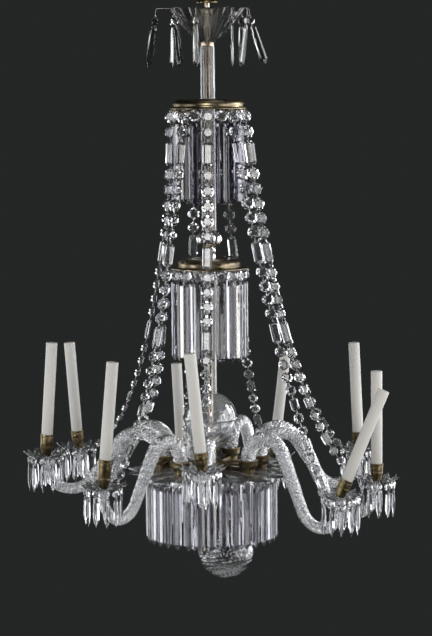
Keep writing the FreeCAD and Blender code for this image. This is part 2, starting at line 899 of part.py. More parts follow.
def build_arm_sockets():
    mouth = size("arm_root_radius") + size("seat_clearance")
    outer = mouth + size("socket_wall")
    foot = size("socket_foot_radius")
    height = size("socket_height")
    floor = height - size("socket_depth")
    outline = [
        (0, 0),
        (foot, 0),
        (foot, floor * 0.75),
        (outer, floor * 1.15),
        (outer, height * 0.9),
        (outer + size("socket_wall") * 0.5, height * 0.95),
        (outer + size("socket_wall") * 0.5, height),
        (mouth, height),
        (mouth, floor),
        (0, floor),
    ]
    socket = spun(outline)
    shapes = []
    for azimuth, _ in ARMS:
        spot = FreeCAD.Placement(polar(azimuth, size("socket_ring_radius"), value(STAR_TOP)),
                                 turned_about_z(azimuth))
        shapes.append(placed(socket, spot))
    return group("arm_sockets", shapes)


def build_star_dish():
    outline = [
        ("rod_radius + bore_clearance", "0"),
        ("rod_radius + bore_clearance", "-star_thickness"),
        ("star_flat_radius", "-star_thickness"),
        ("star_radius", "-star_thickness * 0.6 - star_tip_drop"),
        ("star_radius", "-star_tip_drop"),
        ("star_flat_radius", "0"),
    ]
    body = turned("star_dish", outline, STAR_TOP)
    notch = [
        ("star_radius - star_notch_depth", "0"),
        ("star_radius * 1.02", "-star_radius * 1.02 * tan(180 deg / star_points) * 0.94"),
        ("star_radius * 1.02", "star_radius * 1.02 * tan(180 deg / star_points) * 0.94"),
    ]
    notched(body, "star_notches", notch, "star_points")
    return body


# Arms: up out of the socket, over an arch, down and round a low bend to the pan


def arm_lift(index):
    return ARM_LIFT_SHARES[index] * size("low_bend_radius")


def arm_reach():
    """How far from the axis an arm ends, where its pan and candle stand."""
    return size("socket_ring_radius") + size("arch_radius") + size("arm_span") + size("low_bend_radius")


def arm_end_level(index):
    """The height of an arm's end, where the pan's underside rests."""
    floor = value(f"{STAR_TOP} + socket_height - socket_depth")
    bend = floor + size("arm_root_rise") - size("arm_drop") - size("arm_end_rise")
    return bend + arm_lift(index) + size("arm_end_rise")


def arm_spine(index):
    """The centreline in the XZ plane of the arm's own frame, with the axis at zero."""
    foot = size("socket_ring_radius")
    floor = value(f"{STAR_TOP} + socket_height - socket_depth")
    arch = size("arch_radius")
    bend = size("low_bend_radius")
    over = Vector(foot + arch, 0, floor + size("arm_root_rise"))
    under = Vector(arm_reach() - bend, 0, arm_end_level(index) - size("arm_end_rise"))
    across = under - over
    slope = math.atan2(across.z, across.x) - math.asin((arch + bend) / across.Length)
    side = Vector(-math.sin(slope), 0, math.cos(slope))
    leave = over + side * arch
    meet = under - side * bend
    crest_turn = (math.pi + slope + math.pi / 2) / 2
    crest = over + Vector(math.cos(crest_turn), 0, math.sin(crest_turn)) * arch
    dip_turn = (slope - math.pi / 2) / 2
    dip = under + Vector(math.cos(dip_turn), 0, math.sin(dip_turn)) * bend
    start = Vector(foot, 0, floor)
    rise = Vector(foot, 0, over.z)
    level = Vector(arm_reach(), 0, under.z)
    end = Vector(arm_reach(), 0, arm_end_level(index))
    return [
        Part.LineSegment(start, rise).toShape(),
        Part.Arc(rise, crest, leave).toShape(),
        Part.LineSegment(leave, meet).toShape(),
        Part.Arc(meet, dip, level).toShape(),
        Part.LineSegment(level, end).toShape(),
    ]


def build_glass_arm(index):
    edges = arm_spine(index)
    spine = Part.Wire(edges)
    stations = [
        (edges[0].Vertexes[0].Point, edges[0].tangentAt(edges[0].FirstParameter), "arm_root_radius"),
        (edges[1].Vertexes[0].Point, edges[1].tangentAt(edges[1].FirstParameter), "arm_root_radius"),
        (edges[2].Vertexes[0].Point, edges[2].tangentAt(edges[2].FirstParameter), "arm_bend_radius"),
        (edges[3].Vertexes[0].Point, edges[3].tangentAt(edges[3].FirstParameter), "arm_low_radius"),
        (edges[4].Vertexes[1].Point, edges[4].tangentAt(edges[4].LastParameter), "arm_end_radius"),
    ]
    sweep = Part.BRepOffsetAPI.MakePipeShell(spine)
    for point, along, radius in stations:
        sweep.add(Part.Wire(Part.makeCircle(size(radius), point, along)))
    sweep.build()
    sweep.makeSolid()
    shape = sweep.shape()
    shape.rotate(Vector(0, 0, 0), Vector(0, 0, 1), ARMS[index][0] - 90)
    return group(f"glass_arm_{index + 1}", [shape])


# Drip pans with their beads and spears


def pan_place(index):
    azimuth = ARMS[index][0]
    return FreeCAD.Placement(polar(azimuth, arm_reach(), arm_end_level(index)),
                             turned_about_z(azimuth))


def pan_slope():
    return size("pan_rise") / (size("pan_radius") - size("pan_flat_radius"))


def star_prism(points, tip, valley, low, high):
    """An upright prism with a star for its plan."""
    corners = []
    for index in range(2 * points):
        radius = tip if index % 2 == 0 else valley
        turn = index * math.pi / points
        corners.append(Vector(radius * math.cos(turn), radius * math.sin(turn), low))
    return flat_face(corners).extrude(Vector(0, 0, high - low))


def build_drip_pans():
    thick = size("pan_thickness")
    rise = size("pan_rise")
    outline = [
        (size("pan_bore_radius"), 0),
        (size("pan_flat_radius"), 0),
        (size("pan_radius"), rise),
        (size("pan_radius"), rise + thick),
        (size("pan_flat_radius"), thick),
        (size("pan_bore_radius"), thick),
    ]
    valley = size("pan_radius") - size("pan_star_depth")
    star = star_prism(round(size("pan_star_points")), size("pan_radius"), valley, -thick, rise + 2 * thick)
    pan = spun(outline).common(star)
    return group("drip_pans", [placed(pan, pan_place(index)) for index in range(len(ARMS))])


PAN_BEAD_GIRDLE_SHARE = 0.2


def build_pan_drops():
    """Beads close under each rim with spears below, leaving the arm's side clear."""
    width = size("pan_bead_width")
    depth = size("pan_bead_depth")
    radius = size("pan_drop_radius")
    girdle = depth * PAN_BEAD_GIRDLE_SHARE
    inner = radius - girdle / 2 - size("pan_flat_radius")
    bead_level = inner * pan_slope() - size("seat_clearance") - width / 2
    spear_level = bead_level - width / 2 - size("drop_gap")
    bead = cut_bead(width, depth, girdle, SMALL_BEAD_SIDES)
    drop = spear(size("pan_spear_length"), size("pan_spear_width"), size("pan_spear_depth"))
    count = round(size("pan_drop_count"))
    step = 360 / (count + 1)
    shapes = []
    for index in range(len(ARMS)):
        for number in range(count):
            azimuth = 180 + step * (number + 1)
            turn = turned_about_z(azimuth)
            for shape, level in ((bead, bead_level), (drop, spear_level)):
                spot = FreeCAD.Placement(polar(azimuth, radius, level), turn)
                shapes.append(placed(shape, pan_place(index).multiply(spot)))
    return group("pan_drops", shapes)


# Candle cups on ball feet, and the candles that lift out of them


def ball_height():
    """The centre of a cup's ball foot above the pan's underside."""
    ball = size("cup_ball_radius")
    seat = math.sqrt(ball ** 2 - size("pan_bore_radius") ** 2)
    return size("pan_thickness") + seat + size("bore_clearance")


def candle_place(index):
    """The frame of a cup and its candle: centre of the ball foot, Z along the leaning candle."""
    up = Vector(0, 0, ball_height())
    lean = FreeCAD.Rotation(Vector(0, 1, 0), ARMS[index][1])
    spot = polar(ARMS[index][0], arm_reach(), arm_end_level(index)) + up
    return FreeCAD.Placement(spot, lean)


def ferrule(index):
    return FERRULE_SHARES[index] * size("cup_height")


def build_candle_cups():
    ball = size("cup_ball_radius")
    bore = size("candle_radius") + size("candle_clearance")
    cup = size("cup_radius")
    lip = cup + size("cup_lip")
    cups = []
    for index in range(len(ARMS)):
        extra = ferrule(index)
        floor = size("cup_floor") + extra
        top = size("cup_height") + extra
        waist = ball * 0.8
        waist_level = math.sqrt(ball ** 2 - waist ** 2)
        foot = Part.Arc(Vector(0, 0, -ball), Vector(ball, 0, 0), Vector(waist, 0, waist_level)).toShape()
        points = [
            (waist, waist_level),
            (cup * 0.9, size("cup_floor") * 0.72),
            (cup, size("cup_floor")),
            (cup, top - 2 * size("cup_lip_height")),
            (lip, top - size("cup_lip_height")),
            (lip, top),
            (bore, top),
            (bore, floor),
            (0, floor),
            (0, -ball),
        ]
        wall = Part.makePolygon([Vector(radius, 0, level) for radius, level in points])
        face = Part.Face(Part.Wire([foot] + wall.Edges))
        shape = face.revolve(Vector(0, 0, 0), Vector(0, 0, 1), 360)
        cups.append(placed(shape, candle_place(index)))
    return group("candle_cups", cups)


def build_candle(index):
    candle = cylinder(f"candle_{index + 1}", "candle_radius", "candle_length")
    rise = size("cup_floor") + ferrule(index) + size("candle_clearance")
    stand = FreeCAD.Placement(Vector(0, 0, rise), FreeCAD.Rotation())
    candle.Placement = candle_place(index).multiply(stand)
    candle.Label = f"candle_{index + 1}"
    return candle


# Bead chains from the crown's lip to the pans, hanging as catenaries


def catenary(start, end, length):
    """A function from the length along a hanging chain to its point."""
    flat = Vector(end.x - start.x, end.y - start.y, 0)
    span = flat.Length
    flat.normalize()
    fall = end.z - start.z
    target = math.sqrt(length ** 2 - fall ** 2) / span
    low = 1e-6
    high = 50.0
    for _ in range(100):
        middle = (low + high) / 2
        if math.sinh(middle) / middle < target:
            low = middle
        else:
            high = middle
    scale = span / 2 / low
    shift = scale * math.atanh(fall / length)
    offset = span / 2 - shift

    def at(travel):
        rise = math.sinh(-offset / scale) + travel / scale
        across = scale * math.asinh(rise) + offset
        level = scale * (math.cosh((across - offset) / scale) - math.cosh(-offset / scale))
        return start + flat * across + Vector(0, 0, level)

    return at


def chain_piece(kind, share):
    """One glass piece of a chain and its length along it. `share` runs from 0 at the crown to 1."""
    top = size("chain_bead_top_width")
    width = top + (size("chain_bead_end_width") - top) * share
    shrink = width / top
    if kind == "b":
        return cut_bead(width, size("bead_depth") * shrink, size("bead_girdle")), width
    wide = size("chain_oblong_width") * shrink
    length = size("chain_oblong_length") * (1 + shrink) / 2
    if kind == "k":
        wide = size("chain_block_width")
        length = size("chain_block_length")
    deep = size("chain_oblong_depth") * shrink
    piece = Part.makeBox(wide, deep, length, Vector(-wide / 2, -deep / 2, -length / 2))
    bevel = deep * 0.3
    return piece.makeChamfer(bevel, [edge for edge in piece.Edges if upright(edge)]), length


def upright(edge):
    """Whether an edge runs along Z."""
    return abs(edge.tangentAt(edge.FirstParameter).z) > 0.99


def facing(azimuth, along):
    """The rotation that lays a piece's Z along a chain, with its face turned to an azimuth."""
    out = polar(azimuth, 1)
    out = (out - along * out.dot(along)).normalize()
    depth = out * -1
    up = along * -1
    return FreeCAD.Rotation(depth.cross(up), depth, up, "ZXY")


def arch_crest():
    """How far from the axis an arm's arch is highest, and the level of its glass there."""
    radius = size("socket_ring_radius") + size("arch_radius")
    level = value(f"{STAR_TOP} + socket_height - socket_depth") + size("arm_root_rise")
    return radius, level + size("arch_radius") + size("arm_root_radius")


def chain_ends(index):
    """A chain's first point under the crown's lip and its last one over the pan or the arch."""
    arm = ARMS[index][0]
    start = polar(CHAINS[index][0], size("drop_ring_radius"),
                  value(CROWN_BOTTOM) - size("chain_top_clearance"))
    if index in CHAINS_ON_ARCH:
        radius, level = arch_crest()
        return start, polar(arm, radius, level)
    radius = size("chain_pan_radius")
    rim = (radius - size("pan_flat_radius")) * pan_slope() + size("pan_thickness")
    level = arm_end_level(index) + rim + size("chain_wire_radius")
    return start, polar(arm, arm_reach() - radius, level)


def chain_pieces():
    """The glass pieces of a full chain from the crown down, each with its length."""
    last = len(CHAIN_PATTERN) - 1
    return [chain_piece(kind, order / last) for order, kind in enumerate(CHAIN_PATTERN)]


def pieces_that_fit(pieces, length):
    """As many pieces from the crown down as a chain's length holds, with a link after each."""
    fitting = []
    used = size("chain_top_link")
    for shape, span in pieces:
        used += span + size("chain_link_gap")
        if used > length:
            break
        fitting.append((shape, span))
    return fitting


def build_bead_chain(index, pieces):
    """One chain's glass pieces, with the wires that link them."""
    start, end = chain_ends(index)
    length = (end - start).Length * CHAIN_SLACK_SHARES[index]
    at = catenary(start, end, length)
    pieces = pieces_that_fit(pieces, length)
    travel = size("chain_top_link")
    gap = (length - travel - sum(span for _, span in pieces)) / len(pieces)
    solids = []
    foot = start
    for shape, span in pieces:
        top = at(travel)
        bottom = at(travel + span)
        along = (bottom - top).normalize()
        middle = (top + bottom) * 0.5
        solids.append(link_wire(foot, middle - along * (span / 2)))
        solids.append(placed(shape, FreeCAD.Placement(middle, facing(CHAINS[index][1], along))))
        foot = middle + along * (span / 2)
        travel += span + gap
    solids.append(link_wire(foot, end))
    return group(f"bead_chain_{index + 1}", solids)


def link_wire(foot, head):
    """A short wire that stops just short of the glass at both ends."""
    along = head - foot
    stand_off = size("seat_clearance")
    length = along.Length - 2 * stand_off
    along.normalize()
    return Part.makeCylinder(size("chain_wire_radius"), length, foot + along * stand_off, along)


# Finial: a leaning stem with a ring of drops that lie against the cut ball


def finial_place():
    lean = FreeCAD.Rotation(Vector(0, 1, 0), -size("finial_lean_angle"))
    return FreeCAD.Placement(Vector(0, 0, value(FINIAL_TOP)), lean)


def build_finial_stem():
    stem = size("finial_stem_radius")
    plate = size("finial_plate_radius")
    level = size("finial_plate_level")
    thick = size("finial_plate_height")
    neck = size("ball_neck_radius")
    rim = size("ball_level") - math.sqrt(size("ball_radius") ** 2 - neck ** 2)
    cap = neck + size("ball_cap_overhang")
    tilt = stem * math.tan(math.radians(size("finial_lean_angle"))) + size("bore_clearance")
    outline = [
        (0, -tilt),
        (stem, -tilt),
        (stem, -level),
        (plate * 0.5, -level),
        (plate, -level - thick * 0.5),
        (plate, -level - thick),
        (stem, -level - thick),
        (stem, -rim + 2 * thick),
        (cap * 0.6, -rim + 2 * thick),
        (cap, -rim + thick),
        (cap, -rim),
        (0, -rim),
    ]
    return group("finial_stem", [spun(outline)], finial_place())


def build_finial_drops():
    """A bead under the plate's edge and a prism that leans out from it, nine times."""
    lean = size("finial_drop_angle")
    width = size("finial_bead_width")
    half_depth = size("bead_depth") / 2
    top = -size("finial_plate_level") - size("finial_plate_height") - size("seat_clearance")
    tilt_room = half_depth * math.sin(math.radians(lean))
    bead = cut_bead(width, size("bead_depth"), size("bead_girdle"))
    bead.translate(Vector(0, 0, -width / 2))
    prism = plain_prism("finial")
    prism.translate(Vector(0, 0, -width - size("drop_gap")))
    tilted = FreeCAD.Placement(Vector(0, 0, 0), FreeCAD.Rotation(Vector(1, 0, 0), -lean))
    count = round(size("finial_drop_count"))
    shapes = []
    for shape in (bead, prism):
        leaning = placed(shape, tilted)
        shapes += ring_of(leaning, count, size("finial_drop_radius"), top - tilt_room * BEAD_TABLE_SHARE)
    return group("finial_drops", shapes, finial_place())


def build_cut_ball():
    outer = size("ball_radius")
    inner = outer - size("ball_wall")
    neck = size("ball_neck_radius")
    outer_neck = Vector(neck, 0, math.sqrt(outer ** 2 - neck ** 2))
    inner_neck = Vector(neck, 0, math.sqrt(inner ** 2 - neck ** 2))
    edges = [
        Part.Arc(Vector(0, 0, -outer), Vector(outer, 0, 0), outer_neck).toShape(),
        Part.LineSegment(outer_neck, inner_neck).toShape(),
        Part.Arc(inner_neck, Vector(inner, 0, 0), Vector(0, 0, -inner)).toShape(),
        Part.LineSegment(Vector(0, 0, -inner), Vector(0, 0, -outer)).toShape(),
    ]
    shape = Part.Face(Part.Wire(edges)).revolve(Vector(0, 0, 0), Vector(0, 0, 1), 360)
    centre = FreeCAD.Placement(Vector(0, 0, -size("ball_level")), FreeCAD.Rotation())
    return group("cut_ball", [shape], finial_place().multiply(centre))


def build_all():
    """Every sub-part of the chandelier, in the order that it is put together."""
    crown_start = 180 / size("crown_drop_count")
    parts = [
        build_hanging_loop(),
        build_hanging_pin(),
        build_top_cap(),
        build_central_rod(),
        build_stem_collars(),
        build_canopy_dish(),
        build_canopy_hooks(),
        build_stem_sleeves(),
        build_band("crown_band", "crown_radius", CROWN_TOP),
        build_ring_of_drops("crown", "drop_ring_radius", CROWN_BOTTOM, crown_start),
        build_stem_knop(),
        build_band("middle_band", "middle_radius", MIDDLE_TOP),
        build_ring_of_drops("middle", "drop_ring_radius", MIDDLE_BOTTOM),
        build_globe_dome(),
        build_globe_bowl(),
        build_receiver_hub(),
        build_arm_sockets(),
        build_star_dish(),
        build_ring_of_drops("hub", "hub_drop_radius", STAR_BOTTOM),
        build_finial_stem(),
        build_finial_drops(),
        build_cut_ball(),
        build_drip_pans(),
        build_pan_drops(),
        build_candle_cups(),
    ]
    parts += [build_canopy_drop(index) for index in range(len(CANOPY_DROPS))]
    parts += [build_glass_arm(index) for index in range(len(ARMS))]
    parts += [build_candle(index) for index in range(len(ARMS))]
    pieces = chain_pieces()
    parts += [build_bead_chain(index, pieces) for index in range(len(ARMS))]
    return parts


def export(parts):
    """Checks every object and writes one STEP file for each sub-part."""
    doc.recompute()
    broken = [item.Name for item in doc.Objects if {"Invalid", "Error"} & set(item.State)]
    if broken:
        raise RuntimeError(f"failed objects: {broken}")
    for part in parts:
        if part.Shape.isNull() or not part.Shape.isValid():
            raise RuntimeError(f"bad shape: {part.Label}")
    os.makedirs("parts", exist_ok=True)
    for part in parts:
        part.Shape.exportStep(f"parts/{part.Label}.step")
        box = part.Shape.BoundBox
        print(f"{part.Label:18s} solids {len(part.Shape.Solids):4d}  volume {part.Shape.Volume:12.1f}"
              f"  z {box.ZMin:9.2f} {box.ZMax:9.2f}")


export(build_all())
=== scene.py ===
import math

import bpy
import numpy as np
from mathutils import Matrix, Vector


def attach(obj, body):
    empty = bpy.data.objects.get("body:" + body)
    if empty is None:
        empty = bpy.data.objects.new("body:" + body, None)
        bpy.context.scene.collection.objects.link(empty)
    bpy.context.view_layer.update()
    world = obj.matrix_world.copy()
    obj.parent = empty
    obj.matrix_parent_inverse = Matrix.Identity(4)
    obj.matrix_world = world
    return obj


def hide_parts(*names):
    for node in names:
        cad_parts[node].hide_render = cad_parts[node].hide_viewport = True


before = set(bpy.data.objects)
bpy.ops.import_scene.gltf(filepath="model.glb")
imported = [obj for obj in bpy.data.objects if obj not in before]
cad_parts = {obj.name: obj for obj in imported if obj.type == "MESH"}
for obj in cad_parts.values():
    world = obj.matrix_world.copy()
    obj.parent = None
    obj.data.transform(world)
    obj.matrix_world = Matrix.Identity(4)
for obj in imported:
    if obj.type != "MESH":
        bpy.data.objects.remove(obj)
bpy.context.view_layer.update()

# Looks of the cage chandelier. Metres, +Z up, the origin at the hanging eye.

# Sizes shared with the construction

ARM_COUNT = 9
CANOPY_DROP_COUNT = 8
ROD_BORE = 0.0057
SOCKET_RING_RADIUS = 0.108
SOCKET_FLOOR = -1.061
ARM_ROOT_RISE = 0.013
ARCH_RADIUS = 0.052
LOW_BEND_RADIUS = 0.055
ARM_END_RISE = 0.014
ARM_RADII = [0.017, 0.017, 0.0155, 0.013, 0.012]
CUP_BALL_RADIUS = 0.011
CANDLE_CLEARANCE = 0.0003
STAR_POINTS = 18
CANOPY_PETALS = 9

UP = Vector((0, 0, 1))
BACK = Vector((0, 1, 0))

# The solids of a CAD node, read back from its mesh

MERGE_DIGITS = 6


class Solid:
    """One closed piece of a node: its centre, its principal axes longest first, and their extents."""

    def __init__(self, points):
        middle = points.mean(axis=0)
        _, axes = np.linalg.eigh(np.cov((points - middle).T))
        axes = axes.T[::-1]
        spans = (points - middle) @ axes.T
        self.points = points
        self.extents = spans.max(axis=0) - spans.min(axis=0)
        self.centre = Vector(middle + ((spans.max(axis=0) + spans.min(axis=0)) / 2) @ axes)
        self.axes = [Vector(axis) for axis in axes]
        self.bottom = float(points[:, 2].min())
        self.top = float(points[:, 2].max())

    def up(self):
        """The longest axis, turned to point upwards."""
        return self.axes[0] * (1 if self.axes[0].z > 0 else -1)

    def reach(self, origin, direction):
        """The lowest and highest distance of the solid along a direction from a point."""
        spans = (self.points - np.array(origin)) @ np.array(direction)
        return float(spans.min()), float(spans.max())


def solids(node):
    """Every solid of a node, from the islands of its mesh."""
    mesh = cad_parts[node].data
    corners = np.empty(len(mesh.vertices) * 3)
    mesh.vertices.foreach_get("co", corners)
    corners = np.round(corners.reshape(-1, 3), MERGE_DIGITS)
    points, index = np.unique(corners, axis=0, return_inverse=True)
    edges = np.empty(len(mesh.edges) * 2, dtype=int)
    mesh.edges.foreach_get("vertices", edges)
    pairs = index.reshape(-1)[edges.reshape(-1, 2)]
    # Each point takes the lowest label it is joined to, until none changes.
    label = np.arange(len(points))
    while True:
        lowest = np.minimum(label[pairs[:, 0]], label[pairs[:, 1]])
        after = label.copy()
        np.minimum.at(after, pairs[:, 0], lowest)
        np.minimum.at(after, pairs[:, 1], lowest)
        after = after[after]
        if (after == label).all():
            break
        label = after
    return [Solid(points[label == name]) for name in np.unique(label)]


# Mesh building


class Mesh:
    """Corners and faces gathered from many small shapes."""

    def __init__(self):
        self.corners = []
        self.faces = []

    def add(self, shape, place=None):
        corners, faces = shape
        start = len(self.corners)
        moved = [place @ Vector(corner) for corner in corners] if place else corners
        self.corners += [tuple(corner) for corner in moved]
        self.faces += [[start + corner for corner in face] for face in faces]


def made(name, mesh, material, body, nodes, crease=None):
    """Turns gathered faces into a piece. `crease` is the angle over which smooth shading stops."""
    data = bpy.data.meshes.new(name)
    data.from_pydata(mesh.corners, [], mesh.faces)
    data.validate()
    if crease:
        data.polygons.foreach_set("use_smooth", [True] * len(data.polygons))
        data.set_sharp_from_angle(angle=math.radians(crease))
    piece = bpy.data.objects.new(name, data)
    bpy.context.scene.collection.objects.link(piece)
    data.materials.append(material)
    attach(piece, body)
    if nodes:
        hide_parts(*nodes)


def upright_matrix(origin, facing, up):
    """A placement with Z along `up` and Y as near to `facing` as that allows."""
    up = up.normalized()
    depth = (facing - up * facing.dot(up)).normalized()
    turn = Matrix((depth.cross(up), depth, up)).transposed().to_4x4()
    return Matrix.Translation(origin) @ turn


def bridge(count, start, after):
    """Quads between two loops of the same number of corners."""
    quads = []
    for index in range(count):
        nxt = (index + 1) % count
        quads.append([start + index, start + nxt, after + nxt, after + index])
    return quads


def stack(loops, ends=True):
    """A closed shape from loops of corners, each joined to the next."""
    count = len(loops[0])
    corners = [corner for loop in loops for corner in loop]
    faces = []
    for order in range(len(loops) - 1):
        faces += bridge(count, order * count, (order + 1) * count)
    if ends:
        faces.append(list(range(count))[::-1])
        faces.append([len(corners) - count + index for index in range(count)])
    return corners, faces


def ring_stack(loops):
    """As stack, with the last loop joined to the first, so that it has no ends."""
    corners, faces = stack(loops, ends=False)
    count = len(loops[0])
    return corners, faces + bridge(count, len(corners) - count, 0)


def turns(count, phase=0.0):
    """Angles that share a full turn evenly, the first of them `phase` shares in."""
    return [2 * math.pi * (index + phase) / count for index in range(count)]


def circle(radius, level, sides, phase=0.0):
    return [(radius * math.cos(turn), radius * math.sin(turn), level) for turn in turns(sides, phase)]


LATHE_SIDES = 48


def lathe(profile, sides=LATHE_SIDES, closed=False):
    """A turning from (radius, height) points. An open profile gets flat ends, a closed one none."""
    loops = [circle(radius, level, sides) for radius, level in profile]
    return ring_stack(loops) if closed else stack(loops)


def fluted_ring(radius, level, depth, flutes, per_flute, twist=0.0):
    """A loop of rounded lobes that meet in grooves `depth` deep, turned by `twist`."""
    loop = []
    for step, turn in enumerate(turns(flutes * per_flute)):
        wave = abs(math.sin(math.pi * step / per_flute))
        reach = radius - depth * (1 - wave)
        loop.append((reach * math.cos(turn + twist), reach * math.sin(turn + twist), level))
    return loop


def tube(points, radius, sides=8, closed=False):
    """A round wire along a list of points."""
    count = len(points)
    loops = []
    side = None
    for index, point in enumerate(points):
        if closed:
            along = points[(index + 1) % count] - points[index - 1]
        else:
            along = points[min(index + 1, count - 1)] - points[max(index - 1, 0)]
        along = along.normalized()
        if side is None:
            side = along.orthogonal().normalized()
        side = (side - along * side.dot(along)).normalized()
        other = along.cross(side)
        loop = []
        for turn in turns(sides):
            loop.append(point + side * (radius * math.cos(turn)) + other * (radius * math.sin(turn)))
        loops.append(loop)
    return ring_stack(loops) if closed else stack(loops)


WIRE_RADIUS = 0.0004
WIRE_SIDES = 6
LINK_STEPS = 6
LINK_HALF_WIDTH = 0.0011


def wire_link(top, bottom, facing):
    """A long oval ring of wire that joins two pieces, its flat side towards `facing`."""
    up = (top - bottom).normalized()
    side = facing.cross(up).normalized()
    points = []
    for centre, sign in ((top, 1), (bottom, -1)):
        for step in range(LINK_STEPS + 1):
            turn = math.pi * step / LINK_STEPS
            across = side * (LINK_HALF_WIDTH * math.cos(turn) * sign)
            rise = up * (sign * LINK_HALF_WIDTH * math.sin(turn))
            points.append(centre - up * (sign * LINK_HALF_WIDTH) + across + rise)
    return tube(points, WIRE_RADIUS, WIRE_SIDES, closed=True)


def arc_through(start, end, radius):
    """The centre and the two end angles of a bulging arc between two (radius, height) points."""
    chord = end - start
    side = Vector((chord.y, -chord.x)).normalized()
    centre = (start + end) / 2 - side * math.sqrt(radius ** 2 - (chord.length / 2) ** 2)
    first = math.atan2(start.y - centre.y, start.x - centre.x)
    last = math.atan2(end.y - centre.y, end.x - centre.x)
    return centre, first, last


# Cut glass shapes

BEAD_SIDES = 10
PAN_BEAD_SIDES = 6

# Of a bead's table, stars and girdle: share of the radius, share of the depth, turn in sides

BEAD_RINGS = [(0.58, 0.5, 0.5), (0.84, 0.38, 0.0), (1.0, 0.12, 0.5)]

# Plans in shares of half the width and half the depth

PRISM_PLAN = [(1.0, 0.16), (0.52, 0.86), (0.3, 1.0), (-0.3, 1.0), (-0.52, 0.86), (-1.0, 0.16)]
PRISM_PLAN += [(x, -y) for x, y in reversed(PRISM_PLAN)]
SPEAR_PLAN = [(1, 0), (0.55, 0.62), (0, 1), (-0.55, 0.62), (-1, 0), (-0.55, -0.62), (0, -1), (0.55, -0.62)]
BAR_PLAN = [(1, 0.35), (0.55, 1), (-0.55, 1), (-1, 0.35), (-1, -0.35), (-0.55, -1), (0.55, -1), (1, -0.35)]

# A spear's share of its widest plan, and how far down its length

SPEAR_LEVELS = [(0.05, 1.0), (0.52, 0.86), (0.97, 0.68), (1.0, 0.5), (0.8, 0.14), (0.4, 0.0)]

PRISM_POINT = 0.011
BAR_END_WIDE = 0.72
BAR_END_DEEP = 0.5


def cut_bead(width, depth, sides):
    """A brilliant-cut button along Y: two tables, star facets, kites and a narrow girdle."""
    reach = width / 2 / math.cos(math.pi / sides)

    def loop(scale, level, phase):
        return [(x, level, z) for x, z, _ in circle(reach * scale, 0, sides, phase)]

    corners = []
    for scale, rise, phase in BEAD_RINGS:
        corners += loop(scale, -depth * rise, phase)
    for scale, rise, phase in reversed(BEAD_RINGS):
        corners += loop(scale, depth * rise, phase)
    faces = [list(range(sides)), list(range(5 * sides, 6 * sides))[::-1]]

    def fan(table, mid, girdle):
        for index in range(sides):
            nxt = (index + 1) % sides
            faces.append([table + index, table + nxt, mid + nxt])
            faces.append([table + index, mid + nxt, girdle + index])
            faces.append([table + index, girdle + index, mid + index])
            faces.append([mid + nxt, girdle + nxt, girdle + index])

    fan(0, sides, 2 * sides)
    fan(5 * sides, 4 * sides, 3 * sides)
    faces.extend(bridge(sides, 2 * sides, 3 * sides))
    return corners, faces


def drawn(plan, rings, width, depth):
    """A cut piece along Z from one plan, by (share of the width, share of the depth, height) rings."""
    loops = []
    for wide, deep, level in rings:
        loops.append([(x * width / 2 * wide, y * depth / 2 * deep, level) for x, y in plan])
    return stack(loops)


def cut_prism(length, width, depth, taper=1.0):
    """A long drop that hangs from the origin, with bevelled arrises and a faceted point and head."""
    rings = [
        (0.12, 0.2, -length),
        (0.55, 0.7, -length + PRISM_POINT * 0.45),
        (1.0, 1.0, -length + PRISM_POINT),
        ((1 + taper) / 2, 1.0, -length * 0.5),
        (taper, 1.0, -PRISM_POINT * 0.9),
        (taper * 0.8, 0.75, -PRISM_POINT * 0.35),
        (taper * 0.5, 0.5, 0.0),
    ]
    return drawn(PRISM_PLAN, rings, width, depth)


def cut_spear(length, width, depth):
    """A spear drop that hangs from the origin, eight-sided, widest below its middle."""
    rings = [(scale, scale, -length * down) for scale, down in SPEAR_LEVELS]
    return drawn(SPEAR_PLAN, rings, width, depth)


def cut_bar(length, width, depth):
    """An oblong chain piece along Z with bevelled sides and cut ends."""
    end = min(length * 0.12, width * 0.3)
    rings = [
        (BAR_END_WIDE, BAR_END_DEEP, -length / 2),
        (1, 1, -length / 2 + end),
        (1, 1, length / 2 - end),
        (BAR_END_WIDE, BAR_END_DEEP, length / 2),
    ]
    return drawn(BAR_PLAN, rings, width, depth)


# Materials

GLASS_IOR = 1.56
NOISE_LOW = 0.3
NOISE_HIGH = 0.7
FINE_PATINA = 2.3


